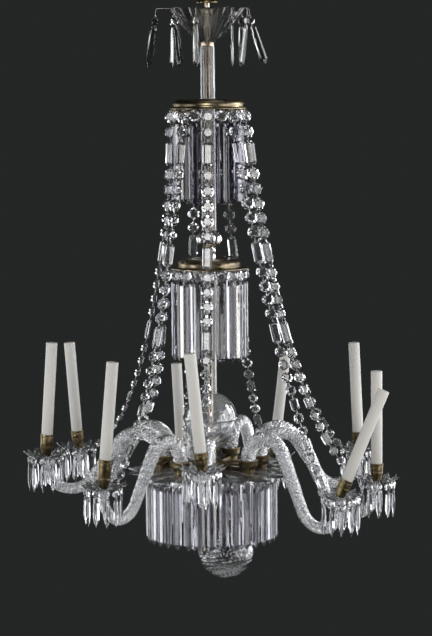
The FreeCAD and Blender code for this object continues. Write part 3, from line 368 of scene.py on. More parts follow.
class Shader:
    """A new node material with a Principled shader and short calls to wire it up."""

    def __init__(self, name):
        self.material = bpy.data.materials.new(name)
        self.material.use_nodes = True
        self.nodes = self.material.node_tree.nodes
        self.links = self.material.node_tree.links
        self.main = self.nodes["Principled BSDF"]
        self.where = self.nodes.new("ShaderNodeTexCoord").outputs["Object"]

    def set(self, **values):
        for name, value in values.items():
            self.main.inputs[name.replace("_", " ")].default_value = value

    def link(self, source, target):
        self.links.new(source, self.main.inputs[target])

    def noise(self, scale, detail, stretch=(1, 1, 1)):
        mapping = self.nodes.new("ShaderNodeMapping")
        mapping.inputs["Scale"].default_value = stretch
        self.links.new(self.where, mapping.inputs["Vector"])
        texture = self.nodes.new("ShaderNodeTexNoise")
        texture.inputs["Scale"].default_value = scale
        texture.inputs["Detail"].default_value = detail
        self.links.new(mapping.outputs["Vector"], texture.inputs["Vector"])
        return texture.outputs["Fac"]

    def island(self):
        """A number that differs from one loose solid to the next."""
        return self.nodes.new("ShaderNodeNewGeometry").outputs["Random Per Island"]

    def ramp(self, source, stops):
        """A colour ramp from (position, colour) stops."""
        ramp = self.nodes.new("ShaderNodeValToRGB")
        elements = ramp.color_ramp.elements
        while len(elements) < len(stops):
            elements.new(0.5)
        for element, (position, colour) in zip(elements, stops):
            element.position = position
            element.color = (*colour, 1)
        self.links.new(source, ramp.inputs["Fac"])
        return ramp.outputs["Color"]

    def spread(self, source, low, high):
        """Maps the middle of a noise's range to run between two numbers."""
        node = self.nodes.new("ShaderNodeMapRange")
        node.inputs["From Min"].default_value = NOISE_LOW
        node.inputs["From Max"].default_value = NOISE_HIGH
        node.inputs["To Min"].default_value = low
        node.inputs["To Max"].default_value = high
        self.links.new(source, node.inputs["Value"])
        return node.outputs["Result"]

    def multiply(self, amount, first, second):
        """Darkens one colour by another. Sockets 6, 7 and 2 are the Mix node's colours."""
        mix = self.nodes.new("ShaderNodeMix")
        mix.data_type = "RGBA"
        mix.blend_type = "MULTIPLY"
        self.links.new(amount, mix.inputs["Factor"])
        self.links.new(first, mix.inputs[6])
        self.links.new(second, mix.inputs[7])
        return mix.outputs[2]

    def bump(self, height, strength, distance=0.001):
        bump = self.nodes.new("ShaderNodeBump")
        bump.inputs["Strength"].default_value = strength
        bump.inputs["Distance"].default_value = distance
        self.links.new(height, bump.inputs["Height"])
        self.link(bump.outputs["Normal"], "Normal")


def glass(name, tints, dust=0.03, rough=(0.0, 0.03), ripple=0.0, ripple_scale=60, coat=0.0):
    """Clear glass whose tint differs a little from piece to piece, with dust in patches."""
    shader = Shader(name)
    shader.set(IOR=GLASS_IOR, Coat_Weight=coat)
    shader.link(shader.ramp(shader.island(), tints), "Base Color")
    shader.link(shader.spread(shader.noise(22, 4), 1.0 - dust * 2, 1.0), "Transmission Weight")
    shader.link(shader.spread(shader.noise(35, 5), *rough), "Roughness")
    if ripple:
        shader.bump(shader.noise(ripple_scale, 2), ripple)
    return shader.material


def metal(name, dark, mid, bright, rough=(0.22, 0.5), scale=26):
    """Aged metal: a patina in patches, worn brighter in places, with fine pitting."""
    shader = Shader(name)
    shader.set(Metallic=1.0)
    patina = [(0.32, dark), (0.5, mid), (0.72, bright)]
    shader.link(shader.ramp(shader.noise(scale, 6), patina), "Base Color")
    shader.link(shader.spread(shader.noise(scale * FINE_PATINA, 5), rough[1], rough[0]), "Roughness")
    shader.bump(shader.noise(900, 3), strength=0.12, distance=0.0002)
    return shader.material


def wax():
    """Ivory candle wax with faint upright streaks, a few specks and a little light let in."""
    shader = Shader("ivory_wax")
    shader.set(Subsurface_Weight=0.12, Subsurface_Scale=0.004, Specular_IOR_Level=0.42)
    tones = [(0.25, (0.60, 0.585, 0.545)), (0.55, (0.67, 0.655, 0.615)), (0.8, (0.71, 0.70, 0.665))]
    specks = [(0.62, (1, 1, 1)), (0.72, (0.86, 0.83, 0.77))]
    tone = shader.ramp(shader.noise(9, 4, stretch=(1, 1, 0.35)), tones)
    speck = shader.ramp(shader.noise(240, 2), specks)
    amount = shader.spread(shader.noise(60, 2), 0, 0.5)
    shader.link(shader.multiply(amount, tone, speck), "Base Color")
    shader.link(shader.spread(shader.noise(40, 3), 0.38, 0.55), "Roughness")
    shader.bump(shader.noise(70, 4, stretch=(1, 1, 0.2)), strength=0.08, distance=0.0008)
    return shader.material


# Tints of the glass: ramps over a number that differs from solid to solid

CLEAR = [(0.0, (0.97, 0.98, 1.0)), (0.5, (0.93, 0.95, 0.98)), (1.0, (0.98, 0.98, 0.97))]
SOFT = [(0.0, (0.80, 0.81, 0.83)), (0.5, (0.70, 0.71, 0.74)), (1.0, (0.82, 0.81, 0.80))]
PRISMATIC = [(0.0, (0.44, 0.44, 0.44)), (0.35, (0.41, 0.41, 0.44)), (0.5, (0.36, 0.35, 0.47)),
             (0.62, (0.45, 0.45, 0.45)), (0.85, (0.47, 0.45, 0.42)), (1.0, (0.40, 0.41, 0.46))]
# Painted shade: the crown's prisms are the same crystal as the others, given far darker tints for the dim
# top of the chandelier. The lavender turn between pieces is the glass's own.
CROWN_PAINTED_SHADE_TINTS = [(0.0, (0.26, 0.26, 0.26)), (0.42, (0.23, 0.23, 0.25)), (0.55, (0.20, 0.19, 0.28)),
        (0.68, (0.25, 0.25, 0.25)), (1.0, (0.26, 0.25, 0.24))]
# Painted shade: olive-grey tints that darken the clear glass of the canopy and its drops, which hang at the
# dim top of the chandelier.
CANOPY_PAINTED_SHADE_TINTS = [(0.0, (0.34, 0.35, 0.32)), (1.0, (0.42, 0.425, 0.41))]
HAZY = [(0.0, (0.46, 0.46, 0.48)), (0.35, (0.42, 0.42, 0.47)), (0.6, (0.47, 0.465, 0.47)),
        (0.8, (0.39, 0.39, 0.47)), (1.0, (0.45, 0.45, 0.46))]
TUBULAR = [(0.0, (0.52, 0.52, 0.51)), (1.0, (0.60, 0.60, 0.59))]
SMOKY = [(0.0, (0.74, 0.75, 0.77)), (0.6, (0.82, 0.83, 0.84)), (1.0, (0.78, 0.78, 0.77))]

CRYSTAL = glass("cut_crystal", SOFT)
CRYSTAL_PLATE = glass("prism_crystal", PRISMATIC, rough=(0.0, 0.08))
# The crown's prism crystal, darkened by the painted shade in its tints.
CROWN_PLATE_PAINTED_SHADE = glass("crown_crystal_painted_shade", CROWN_PAINTED_SHADE_TINTS)
HUB_PLATE = glass("hub_crystal", HAZY, dust=0.07, rough=(0.06, 0.20))
MOULDED = glass("moulded_glass", SMOKY, dust=0.04, rough=(0.01, 0.06), ripple=0.15, ripple_scale=260)
ROPED = glass("roped_glass", CLEAR, dust=0.10, rough=(0.0, 0.05), ripple=1.0, ripple_scale=210, coat=1.0)
BLOWN = glass("blown_glass", SOFT, dust=0.015, coat=1.0)
# The canopy's dish and drops take the painted-shade tints above.
CANOPY_GLASS_PAINTED_SHADE = glass("canopy_glass_painted_shade", CANOPY_PAINTED_SHADE_TINTS, dust=0.05, rough=(0.01, 0.10))
DROP_GLASS_PAINTED_SHADE = glass("drop_glass_painted_shade", CANOPY_PAINTED_SHADE_TINTS, dust=0.01)
STEM_GLASS = glass("stem_glass", TUBULAR, dust=0.04)
GLOBE_GLASS = glass("globe_glass", CLEAR, dust=0.10, rough=(0.0, 0.02), ripple=0.25, ripple_scale=40,
                    coat=1.0)
BRASS = metal("aged_brass", (0.05, 0.038, 0.020), (0.15, 0.115, 0.06), (0.34, 0.27, 0.15))
GILT = metal("gilt_brass", (0.13, 0.105, 0.07), (0.28, 0.23, 0.15), (0.50, 0.42, 0.28), (0.22, 0.42))
ROD = metal("silvered_rod", (0.50, 0.36, 0.26), (0.72, 0.62, 0.52), (0.86, 0.82, 0.76), (0.12, 0.3), 14)
WIRE = metal("drawn_wire", (0.16, 0.155, 0.14), (0.3, 0.29, 0.27), (0.5, 0.49, 0.46), (0.2, 0.4), 120)
WAX = wax()


# Prisms, beads and spears in place of the plain solids

# Beads and spears are told apart by the ratios of their extents, a chain's wires by their depth

BEAD_RATIO = 1.2
SPEAR_RATIO = 1.4
CHAIN_WIRE_DEPTH = 0.004

# How far links run past a chain's straight wires, and half the length of the other links

CHAIN_LINK_OVERLAP = 0.0022
PRISM_LINK_HALF = 0.005
DROP_LINK_HALF = 0.004

CANOPY_DROP_TAPER = 0.72


def outward(point):
    """The level direction from the stem to a point."""
    return Vector((point.x, point.y, 0)).normalized()


def is_bead(solid):
    """A bead is round in two extents and thinner in the third."""
    long, wide, deep = solid.extents
    return long < wide * BEAD_RATIO and wide > deep * BEAD_RATIO


def drop_matrix(solid):
    """The placement of a hanging solid, its origin at the top."""
    top = solid.centre + solid.up() * (solid.extents[0] / 2)
    return upright_matrix(top, solid.axes[2], solid.up())


def centre_matrix(solid, up):
    return upright_matrix(solid.centre, solid.axes[2], up)


def bead_shape(solid, sides=BEAD_SIDES):
    return cut_bead(min(solid.extents[0], solid.extents[1]), solid.extents[2], sides)


def hang_curtain(kind, material):
    """A ring of beads and prisms, with the wire links that hang one from the other."""
    node = kind + "_drops"
    beads = Mesh()
    prisms = Mesh()
    links = Mesh()
    for solid in solids(node):
        if is_bead(solid):
            beads.add(bead_shape(solid), centre_matrix(solid, UP))
        else:
            place = drop_matrix(solid)
            up = place.col[2].xyz
            prisms.add(cut_prism(*solid.extents), place)
            top = place.translation
            half = up * PRISM_LINK_HALF
            links.add(wire_link(top + half, top - half, place.col[1].xyz))
    made(kind + "_beads", beads, CRYSTAL, "chandelier", [node])
    made(kind + "_prisms", prisms, material, "chandelier", [node])
    made(kind + "_links", links, WIRE, "chandelier", [])


def hang_pan_drops():
    """The beads and spears round the pans."""
    beads = Mesh()
    spears = Mesh()
    for solid in solids("pan_drops"):
        if solid.extents[0] < solid.extents[1] * SPEAR_RATIO:
            beads.add(bead_shape(solid, PAN_BEAD_SIDES), centre_matrix(solid, UP))
        else:
            spears.add(cut_spear(*solid.extents), drop_matrix(solid))
    made("pan_beads", beads, CRYSTAL, "chandelier", ["pan_drops"])
    made("pan_spears", spears, CRYSTAL, "chandelier", ["pan_drops"])


def hang_canopy_drop(number):
    """A bead and a flat drop on a staple of wire."""
    node = f"canopy_drop_{number}"
    staple, bead, drop = sorted(solids(node), key=lambda solid: -solid.centre.z)
    body = Mesh()
    place = drop_matrix(drop)
    up = place.col[2].xyz
    body.add(bead_shape(bead), centre_matrix(bead, up))
    body.add(cut_prism(*drop.extents, taper=CANOPY_DROP_TAPER), place)
    wire = Mesh()
    side = place.col[0].xyz * (staple.extents[0] / 2 - WIRE_RADIUS)
    rise = up * (staple.extents[1] / 2 - WIRE_RADIUS)
    high = staple.centre + rise
    low = staple.centre - rise
    wire.add(tube([low - side, high - side, high + side, low + side], WIRE_RADIUS))
    top = place.translation
    half = up * DROP_LINK_HALF
    wire.add(wire_link(top + half, top - half, place.col[1].xyz))
    made(f"{node}_glass", body, DROP_GLASS_PAINTED_SHADE, node, [node])
    made(f"{node}_wire", wire, WIRE, node, [node])


def hang_chain(number):
    """Beads, oblongs and blocks on oval links from the crown to a pan."""
    node = f"bead_chain_{number}"
    parts = solids(node)
    pieces = [solid for solid in parts if solid.extents[2] > CHAIN_WIRE_DEPTH]
    pieces.sort(key=lambda solid: -solid.centre.z)
    wires = [solid for solid in parts if solid.extents[2] <= CHAIN_WIRE_DEPTH]
    shapes = Mesh()
    for order, solid in enumerate(pieces):
        before = pieces[max(order - 1, 0)].centre
        after = pieces[min(order + 1, len(pieces) - 1)].centre
        if is_bead(solid):
            shapes.add(bead_shape(solid), centre_matrix(solid, before - after))
        else:
            shapes.add(cut_bar(*solid.extents), centre_matrix(solid, solid.up()))
    links = Mesh()
    for wire in wires:
        half = wire.axes[0] * (wire.extents[0] / 2 + CHAIN_LINK_OVERLAP)
        links.add(wire_link(wire.centre + half, wire.centre - half, outward(wire.centre)))
    made(f"{node}_glass", shapes, CRYSTAL, "chandelier", [node])
    made(f"{node}_links", links, WIRE, "chandelier", [node])


# Arms: clear glass moulded as a twisted rope

ROPE_STRANDS = 10
ROPE_POINTS = 5
ROPE_DEPTH_SHARE = 0.11
DIAMOND_DEPTH_SHARE = 0.10
ROPE_PITCH = 0.085
ARM_STEP = 0.0019


def line_points(start, end):
    count = max(2, round((end - start).length / ARM_STEP))
    return [start.lerp(end, index / count) for index in range(count + 1)]


def arc_points(centre, radius, first, last):
    count = max(2, round(abs(last - first) * radius / ARM_STEP))
    angles = [first + (last - first) * index / count for index in range(count + 1)]
    return [centre + Vector((math.cos(angle), math.sin(angle))) * radius for angle in angles]


def arm_line(end_level, reach):
    """Points and radii along an arm's centreline in its own plane (out, up)."""
    over = Vector((SOCKET_RING_RADIUS + ARCH_RADIUS, SOCKET_FLOOR + ARM_ROOT_RISE))
    under = Vector((reach - LOW_BEND_RADIUS, end_level - ARM_END_RISE))
    across = under - over
    lean = math.asin((ARCH_RADIUS + LOW_BEND_RADIUS) / across.length)
    slope = math.atan2(across.y, across.x) - lean
    side = Vector((-math.sin(slope), math.cos(slope)))
    leave = over + side * ARCH_RADIUS
    meet = under - side * LOW_BEND_RADIUS
    start = Vector((SOCKET_RING_RADIUS, SOCKET_FLOOR))
    rise = Vector((SOCKET_RING_RADIUS, over.y))
    low = Vector((reach, under.y))
    end = Vector((reach, end_level))
    spans = [
        line_points(start, rise),
        arc_points(over, ARCH_RADIUS, math.pi, slope + math.pi / 2),
        line_points(leave, meet),
        arc_points(under, LOW_BEND_RADIUS, slope - math.pi / 2, 0),
        line_points(low, end),
    ]
    points = []
    radii = []
    for span, first, last in zip(spans, ARM_RADII, ARM_RADII[1:] + ARM_RADII[-1:]):
        for index, point in enumerate(span[:-1]):
            points.append(point)
            radii.append(first + (last - first) * index / (len(span) - 1))
    points.append(end)
    radii.append(ARM_RADII[-1])
    return points, radii


def rope(points, radii, plane):
    """A tube moulded as a rope of strands, which finer grooves cross the other way.

    `plane` takes a point's distances away from the axis, upwards and sideways to the frame.
    """
    travel = 0.0
    loops = []
    for index, point in enumerate(points):
        ahead = points[min(index + 1, len(points) - 1)] - points[max(index - 1, 0)]
        ahead.normalize()
        if index:
            travel += (point - points[index - 1]).length
        normal = Vector((-ahead.y, ahead.x))
        twist = 2 * math.pi * travel / ROPE_PITCH
        loop = []
        for turn in turns(ROPE_STRANDS * ROPE_POINTS):
            strand = 1 - abs(math.cos(ROPE_STRANDS * turn / 2))
            cross = 1 - abs(math.cos(ROPE_STRANDS * (turn + 2 * twist) / 2))
            radius = radii[index] * (1 - ROPE_DEPTH_SHARE * strand - DIAMOND_DEPTH_SHARE * cross)
            angle = turn + twist
            spot = point + normal * (radius * math.cos(angle))
            loop.append(plane(spot.x, spot.y, radius * math.sin(angle)))
        loops.append(loop)
    return stack(loops)


def build_arm(number, azimuth, end_level, reach):
    out = Vector((math.sin(azimuth), -math.cos(azimuth), 0))
    side = Vector((math.cos(azimuth), math.sin(azimuth), 0))

    def plane(away, up, across):
        return out * away + side * across + Vector((0, 0, up))

    arm = Mesh()
    arm.add(rope(*arm_line(end_level, reach), plane))
    node = f"glass_arm_{number}"
    made(node + "_rope", arm, ROPED, "chandelier", [node])


# Drip pans, cups and candles

PAN_POINTS = 12
PAN_LEAF_STEPS = 6
PAN_REACH = 0.05
PAN_FLAT = 0.02
PAN_BORE = 0.008
PAN_SLOPE = 0.3
PAN_THICKNESS = 0.004
PAN_RIM_THINNING = 0.4
PAN_STAR_DEPTH = 0.010
PAN_TIP_CURL = 0.0045
PAN_RIB = 0.0016
PAN_SHARES = (0.0, 0.2, 0.4, 0.55, 0.7, 0.85, 1.0)

CUP_FOOT_STEPS = 6
CUP_FOOT_START = 0.15
CUP_FOOT_TURN = 1.15
CUP_BORE = 0.0128
DOUBLE_CUP_HEIGHT = 0.05


def pan_shape():
    """A shallow dish of ribbed pointed leaves whose tips curl up, fluted underneath."""
    under = []
    over = []
    for share in PAN_SHARES:
        low = []
        high = []
        for step, turn in enumerate(turns(PAN_POINTS * PAN_LEAF_STEPS)):
            wave = abs(((step / PAN_LEAF_STEPS) % 1) * 2 - 1)
            rim = PAN_REACH - PAN_STAR_DEPTH * (1 - wave)
            radius = PAN_BORE + (rim - PAN_BORE) * share
            curl = PAN_TIP_CURL * share ** 4 * wave
            level = max(0.0, radius - PAN_FLAT) * PAN_SLOPE + curl
            flute = PAN_RIB * share * (1 - wave)
            rib = PAN_RIB * share * (wave - 0.5)
            thick = PAN_THICKNESS * (1 - PAN_RIM_THINNING * share ** 3) + rib
            low.append((radius * math.cos(turn), radius * math.sin(turn), level + flute))
            high.append((radius * math.cos(turn), radius * math.sin(turn), level + thick))
        under.append(low)
        over.append(high)
    return ring_stack(under + over[::-1])


def cup_profile(top, floor, double):
    """The outer and inner turning of a brass cup that swells from a round foot.

    A `double` cup has a second ring below its lip, and its wall folds back on itself behind that ring.
    """
    foot = []
    for step in range(CUP_FOOT_STEPS + 1):
        turn = CUP_FOOT_START + CUP_FOOT_TURN * step / CUP_FOOT_STEPS
        foot.append((CUP_BALL_RADIUS * math.sin(turn), -CUP_BALL_RADIUS * math.cos(turn)))
    body = [
        (0.0109, 0.0000), (0.0113, 0.0030), (0.0120, 0.0065), (0.0129, 0.0098), (0.0137, 0.0125),
        (0.0139, 0.0140), (0.0135, 0.0146), (0.0135, 0.0154), (0.0139, 0.0160), (0.0139, top - 0.0075),
    ]
    ring = top - 0.0145
    second = [(0.0139, ring - 0.0030), (0.0149, ring - 0.0022), (0.0149, ring), (0.0139, ring + 0.0008)]
    lip = [
        (0.0145, top - 0.0068), (0.0145, top - 0.0058), (0.0139, top - 0.0050), (0.0141, top - 0.0034),
        (0.0152, top - 0.0026), (0.0153, top - 0.0004), (0.0149, top), (0.0130, top),
        (CUP_BORE, top - 0.0004), (CUP_BORE, floor), (0.0, floor),
    ]
    return foot + body + (second if double else []) + lip


def build_candle(node, candle, foot):
    """A straight candle with a softened top edge and a slight hollow."""
    radius = candle.extents[1] / 2
    length = candle.extents[0]
    profile = [
        (radius * 0.93, 0.0), (radius, 0.001), (radius, length * 0.33), (radius * 0.997, length * 0.66),
        (radius, length - 0.0022), (radius * 0.985, length - 0.0007), (radius * 0.95, length - 0.0001),
        (radius * 0.88, length), (radius * 0.6, length - 0.0006), (radius * 0.1, length - 0.0009),
    ]
    mesh = Mesh()
    mesh.add(lathe(profile), upright_matrix(foot, BACK, candle.up()))
    made(node + "_wax", mesh, WAX, node, [node], crease=50)


def build_holders():
    """For each arm: the arm itself, its pan, cup and candle."""
    pans = solids("drip_pans")
    cups = solids("candle_cups")
    pan_mesh = Mesh()
    cup_mesh = Mesh()
    for number in range(1, ARM_COUNT + 1):
        node = f"candle_{number}"
        candle = solids(node)[0]
        up = candle.up()
        foot = candle.centre - up * (candle.extents[0] / 2)
        pan = min(pans, key=lambda solid: (solid.centre - foot).xy.length)
        cup = min(cups, key=lambda solid: (solid.centre - foot).length)
        azimuth = math.atan2(pan.centre.x, -pan.centre.y)
        build_arm(number, azimuth, pan.bottom, pan.centre.xy.length)
        centre = Matrix.Translation(Vector((pan.centre.x, pan.centre.y, pan.bottom)))
        pan_mesh.add(pan_shape(), centre @ Matrix.Rotation(azimuth - math.pi / 2, 4, "Z"))
        low, high = cup.reach(foot, up)
        pivot = foot + up * (low + CUP_BALL_RADIUS)
        height = high - low - CUP_BALL_RADIUS
        floor = (foot - pivot).length - CANDLE_CLEARANCE
        profile = cup_profile(height, floor, height > DOUBLE_CUP_HEIGHT)
        cup_mesh.add(lathe(profile), upright_matrix(pivot, BACK, up))
        build_candle(node, candle, foot)
    made("star_pans", pan_mesh, MOULDED, "chandelier", ["drip_pans"])
    made("brass_cups", cup_mesh, BRASS, "chandelier", ["candle_cups"], crease=40)


# Canopy, star dish, globe, finial ball and knop

CANOPY_RIM = -0.070
CANOPY_FOOT = -0.142
CANOPY_RIM_RADIUS = 0.0845
CANOPY_FOOT_RADIUS = 0.020
CANOPY_FOOT_THICKNESS = 0.0056
CANOPY_CURVE = 0.4
CANOPY_CURVE_STEPS = 14
CANOPY_WALL = 0.004
CANOPY_NOTCH = 0.0042
CANOPY_FLUTE = 0.0008
PETAL_STEPS = 8

STAR_TOP = -1.075
STAR_UNDERSIDE = [(ROD_BORE, -0.006), (0.06, -0.006), (0.11, -0.006), (0.152, -0.006), (0.17, -0.0075),
                  (0.187, -0.0086)]
STAR_UPPER_SIDE = [(ROD_BORE, 0.0), (0.06, 0.0), (0.11, 0.0), (0.152, 0.0), (0.17, -0.0024), (0.187, -0.005)]
STAR_CUT = 0.024
STAR_FLUTE = 0.0012

BOWL_TOP = -0.964
BOWL_HEIGHT = 0.067
BOWL_FOOT_RADIUS = 0.022
BOWL_BRIM_RADIUS = 0.057
BOWL_CURVE = 0.072
BOWL_WALL = 0.0055
BOWL_FLOOR = 0.0035
BOWL_FLUTES = 14
BOWL_FLUTE_STEPS = 8
BOWL_FLUTE_DEPTH = 0.0034
BOWL_ROWS = 22
BOWL_TWIST = 1.15
BOWL_FADE_TOP = 8
BOWL_FADE_FOOT = 6
BOWL_RIM = [(0.0615, -0.004), (0.062, -0.003), (0.062, -0.0006), (0.0615, 0.0)]

BALL_ROWS = 56
BALL_SIDES = 156
BALL_SLANTS = 26
BALL_SLANT_TURN = 1.5
BALL_GROOVE = 0.0028
BALL_NECK_RADIUS = 0.022
BALL_POLE_GAP = 0.06
BALL_WALL = 0.0035
BALL_INNER_ROWS = 18
BALL_INNER_TURN = 0.86 * (math.pi - 0.1)

KNOP_TOP = -0.5495
KNOP_FLUTES = 12
KNOP_FLUTE_STEPS = 6
KNOP_FLUTE_DEPTH = 0.0022
KNOP_NECK_RADIUS = 0.0155
KNOP_RADIUS = 0.0291
KNOP_HEIGHT = 0.038
KNOP_ROWS = 14
KNOP_SWELL_START = 0.06
KNOP_SWELL_SPAN = 0.88
KNOP_SWELL_LEAST = 0.187

# The knop's neck in (radius, height, depth of its flutes)

KNOP_NECK = [
    (0.0128, -0.040, 0.0006), (0.0150, -0.045, 0.0012), (0.0128, -0.0525, 0.0012),
    (0.0142, -0.058, 0.0006), (0.0142, -0.062, 0), (ROD_BORE, -0.062, 0),
]


def rosette(profile_low, profile_high, petals, rim_cut, flute):
    """A dish from lower and upper (radius, height) profiles, with petals cut into its rim.

    `rim_cut(wave)` is how much of its radius the rim loses, `wave` being 1 on a petal's middle and 0
    between two, and `flute` how far each surface is hollowed between two.
    """
    steps = petals * PETAL_STEPS
    inner = profile_low[0][0]
    outer = profile_low[-1][0]
    loops = []
    for profile, lift in ((profile_low, 1), (profile_high[::-1], -1)):
        for radius, level in profile:
            share = max(0.0, (radius - inner) / (outer - inner))
            loop = []
            for step, turn in enumerate(turns(steps)):
                wave = abs(math.cos(math.pi * step / PETAL_STEPS))
                reach = radius - rim_cut(wave) * share ** 2
                rise = flute * lift * (1 - wave) * min(1.0, share * 2)
                loop.append((reach * math.sin(turn), -reach * math.cos(turn), level + rise))
            loops.append(loop)
    return ring_stack(loops)


def canopy_profile(offset):
    """The funnel's outer side, or its inner side for a positive offset."""
    foot = Vector((CANOPY_FOOT_RADIUS, CANOPY_FOOT))
    rim = Vector((CANOPY_RIM_RADIUS, CANOPY_RIM))
    centre, first, last = arc_through(foot, rim, CANOPY_CURVE)
    radius = CANOPY_CURVE - offset
    points = []
    for step in range(CANOPY_CURVE_STEPS + 1):
        turn = first + (last - first) * step / CANOPY_CURVE_STEPS
        points.append((centre.x + radius * math.cos(turn), centre.y + radius * math.sin(turn)))
    if offset:
        points[-1] = (points[-1][0], CANOPY_RIM)
    return points


def build_canopy():
    """The petal-edged funnel, with two leaves to each petal of the construction."""
    low = [(ROD_BORE, CANOPY_FOOT)] + canopy_profile(0)
    high = [(ROD_BORE, CANOPY_FOOT + CANOPY_FOOT_THICKNESS)] + canopy_profile(CANOPY_WALL)

    def cut(wave):
        return CANOPY_NOTCH * (1 - wave)

    dish = Mesh()
    dish.add(rosette(low, high, CANOPY_PETALS * 2, cut, CANOPY_FLUTE))
    made("petal_canopy", dish, CANOPY_GLASS_PAINTED_SHADE, "chandelier", ["canopy_dish"], crease=35)


def build_star():
    """The dish under the globe, its rim cut to points with straight sides."""
    low = [(radius, STAR_TOP + level) for radius, level in STAR_UNDERSIDE]
    high = [(radius, STAR_TOP + level) for radius, level in STAR_UPPER_SIDE]

    def cut(wave):
        return STAR_CUT * math.acos(min(1.0, wave)) / (math.pi / 2)

    star = Mesh()
    star.add(rosette(low, high, STAR_POINTS, cut, STAR_FLUTE))
    made("star_dish_cut", star, MOULDED, "chandelier", ["star_dish"])


def build_globe_bowl():
    """The globe's lower half: flutes that climb it on a slant, smooth inside."""
    foot = Vector((BOWL_FOOT_RADIUS, -BOWL_HEIGHT))
    brim = Vector((BOWL_BRIM_RADIUS, BOWL_RIM[0][1]))
    centre, first, last = arc_through(foot, brim, BOWL_CURVE)
    loops = []

    def add_ring(radius, level, depth, twist):
        loops.append(fluted_ring(radius, BOWL_TOP + level, depth, BOWL_FLUTES, BOWL_FLUTE_STEPS, twist))

    def on_curve(share, inset):
        turn = first + (last - first) * share
        radius = BOWL_CURVE - inset
        return centre.x + radius * math.cos(turn), centre.y + radius * math.sin(turn)

    shares = [row / BOWL_ROWS for row in range(BOWL_ROWS + 1)]
    add_ring(ROD_BORE, -BOWL_HEIGHT, 0, 0)
    for share in shares:
        radius, level = on_curve(share, 0)
        fade = min(1.0, BOWL_FADE_TOP * (1 - share)) * min(1.0, BOWL_FADE_FOOT * share)
        add_ring(radius, level, BOWL_FLUTE_DEPTH * fade, share * BOWL_TWIST)
    for radius, level in BOWL_RIM:
        add_ring(radius, level, 0, BOWL_TWIST)
    for share in reversed(shares):
        radius, level = on_curve(share, BOWL_WALL)
        add_ring(radius, max(level, BOWL_FLOOR - BOWL_HEIGHT), 0, share * BOWL_TWIST)
    add_ring(ROD_BORE, BOWL_FLOOR - BOWL_HEIGHT, 0, 0)
    bowl = Mesh()
    bowl.add(ring_stack(loops))
    made("spiral_bowl", bowl, GLOBE_GLASS, "chandelier", ["globe_bowl"], crease=30)


def ball_ring(polar, reach, depth):
    """A loop of the ball at an angle from its pole, with two crossing sets of grooves."""
    loop = []
    for turn in turns(BALL_SIDES):
        climb = polar * BALL_SLANT_TURN
        first = abs(math.sin((turn + climb) * BALL_SLANTS / 2))
        second = abs(math.sin((turn - climb) * BALL_SLANTS / 2))
        away = reach - depth * (1 - min(first, second)) ** 3
        across = away * math.sin(polar)
        loop.append((across * math.cos(turn), across * math.sin(turn), away * math.cos(polar)))
    return loop


def build_ball():
    """The hollow ball, cut all over with two crossing sets of slanted grooves."""
    solid = solids("cut_ball")[0]
    stem = solids("finial_stem")[0]
    up = (stem.centre - solid.centre).normalized()
    low, _ = solid.reach(solid.centre, up)
    radius = solid.extents.max() / 2
    centre = solid.centre + up * (low + radius)
    neck = math.asin(BALL_NECK_RADIUS / radius)
    outer = []
    for row in range(BALL_ROWS):
        polar = neck + (math.pi - BALL_POLE_GAP - neck) * row / (BALL_ROWS - 1)
        outer.append(ball_ring(polar, radius, BALL_GROOVE * math.sin(polar) ** 0.5))
    inner = []
    inner_radius = radius - BALL_WALL
    inner_neck = math.asin(BALL_NECK_RADIUS / inner_radius)
    for row in range(BALL_INNER_ROWS + 1):
        polar = inner_neck + BALL_INNER_TURN * row / BALL_INNER_ROWS
        inner.append(ball_ring(polar, inner_radius, 0))
    ball = Mesh()
    ball.add(stack(outer[::-1] + inner), upright_matrix(centre, BACK, up))
    made("cross_cut_ball", ball, BLOWN, "chandelier", ["cut_ball"], crease=30)


def build_knop():
    """The stem's glass knop with upright flutes, on a faceted neck."""
    loops = []

    def add_ring(radius, level, depth):
        loops.append(fluted_ring(radius, KNOP_TOP + level, depth, KNOP_FLUTES, KNOP_FLUTE_STEPS))

    add_ring(ROD_BORE, 0.0, 0)
    add_ring(KNOP_NECK_RADIUS, 0.0, 0)
    for row in range(KNOP_ROWS + 1):
        share = row / KNOP_ROWS
        swell = math.sin(math.pi * (KNOP_SWELL_START + KNOP_SWELL_SPAN * share))
        growth = (swell - KNOP_SWELL_LEAST) / (1 - KNOP_SWELL_LEAST)
        radius = KNOP_NECK_RADIUS + (KNOP_RADIUS - KNOP_NECK_RADIUS) * growth
        add_ring(radius, -KNOP_HEIGHT * share, KNOP_FLUTE_DEPTH * swell)
    for radius, level, depth in KNOP_NECK:
        add_ring(radius, level, depth)
    knop = Mesh()
    knop.add(ring_stack(loops))
    made("fluted_knop", knop, CRYSTAL, "chandelier", ["stem_knop"], crease=25)


# Brass: bands, collars, sockets, hooks and the kept solids

BAND_SIDES = 96
COLLAR_SIDES = 16

# A collar's two faceted swellings in (share of the radius, share of the height)

COLLAR_LEVELS = [(0.9, 0.0), (1.0, 0.14), (1.0, 0.28), (0.9, 0.42), (0.9, 0.58), (1.0, 0.72), (1.0, 0.86),
                 (0.9, 1.0)]

SOCKET_PROFILE = [
    (0.0, 0.0), (0.0145, 0.0), (0.015, 0.0005), (0.015, 0.0075), (0.0155, 0.0100), (0.0180, 0.0125),
    (0.0205, 0.0160), (0.0208, 0.0180), (0.0208, 0.0238), (0.0214, 0.0250), (0.0225, 0.0262),
    (0.0225, 0.0274), (0.0220, 0.0280), (0.0175, 0.0280), (0.0173, 0.0277), (0.0173, 0.0140), (0.0, 0.0140),
]

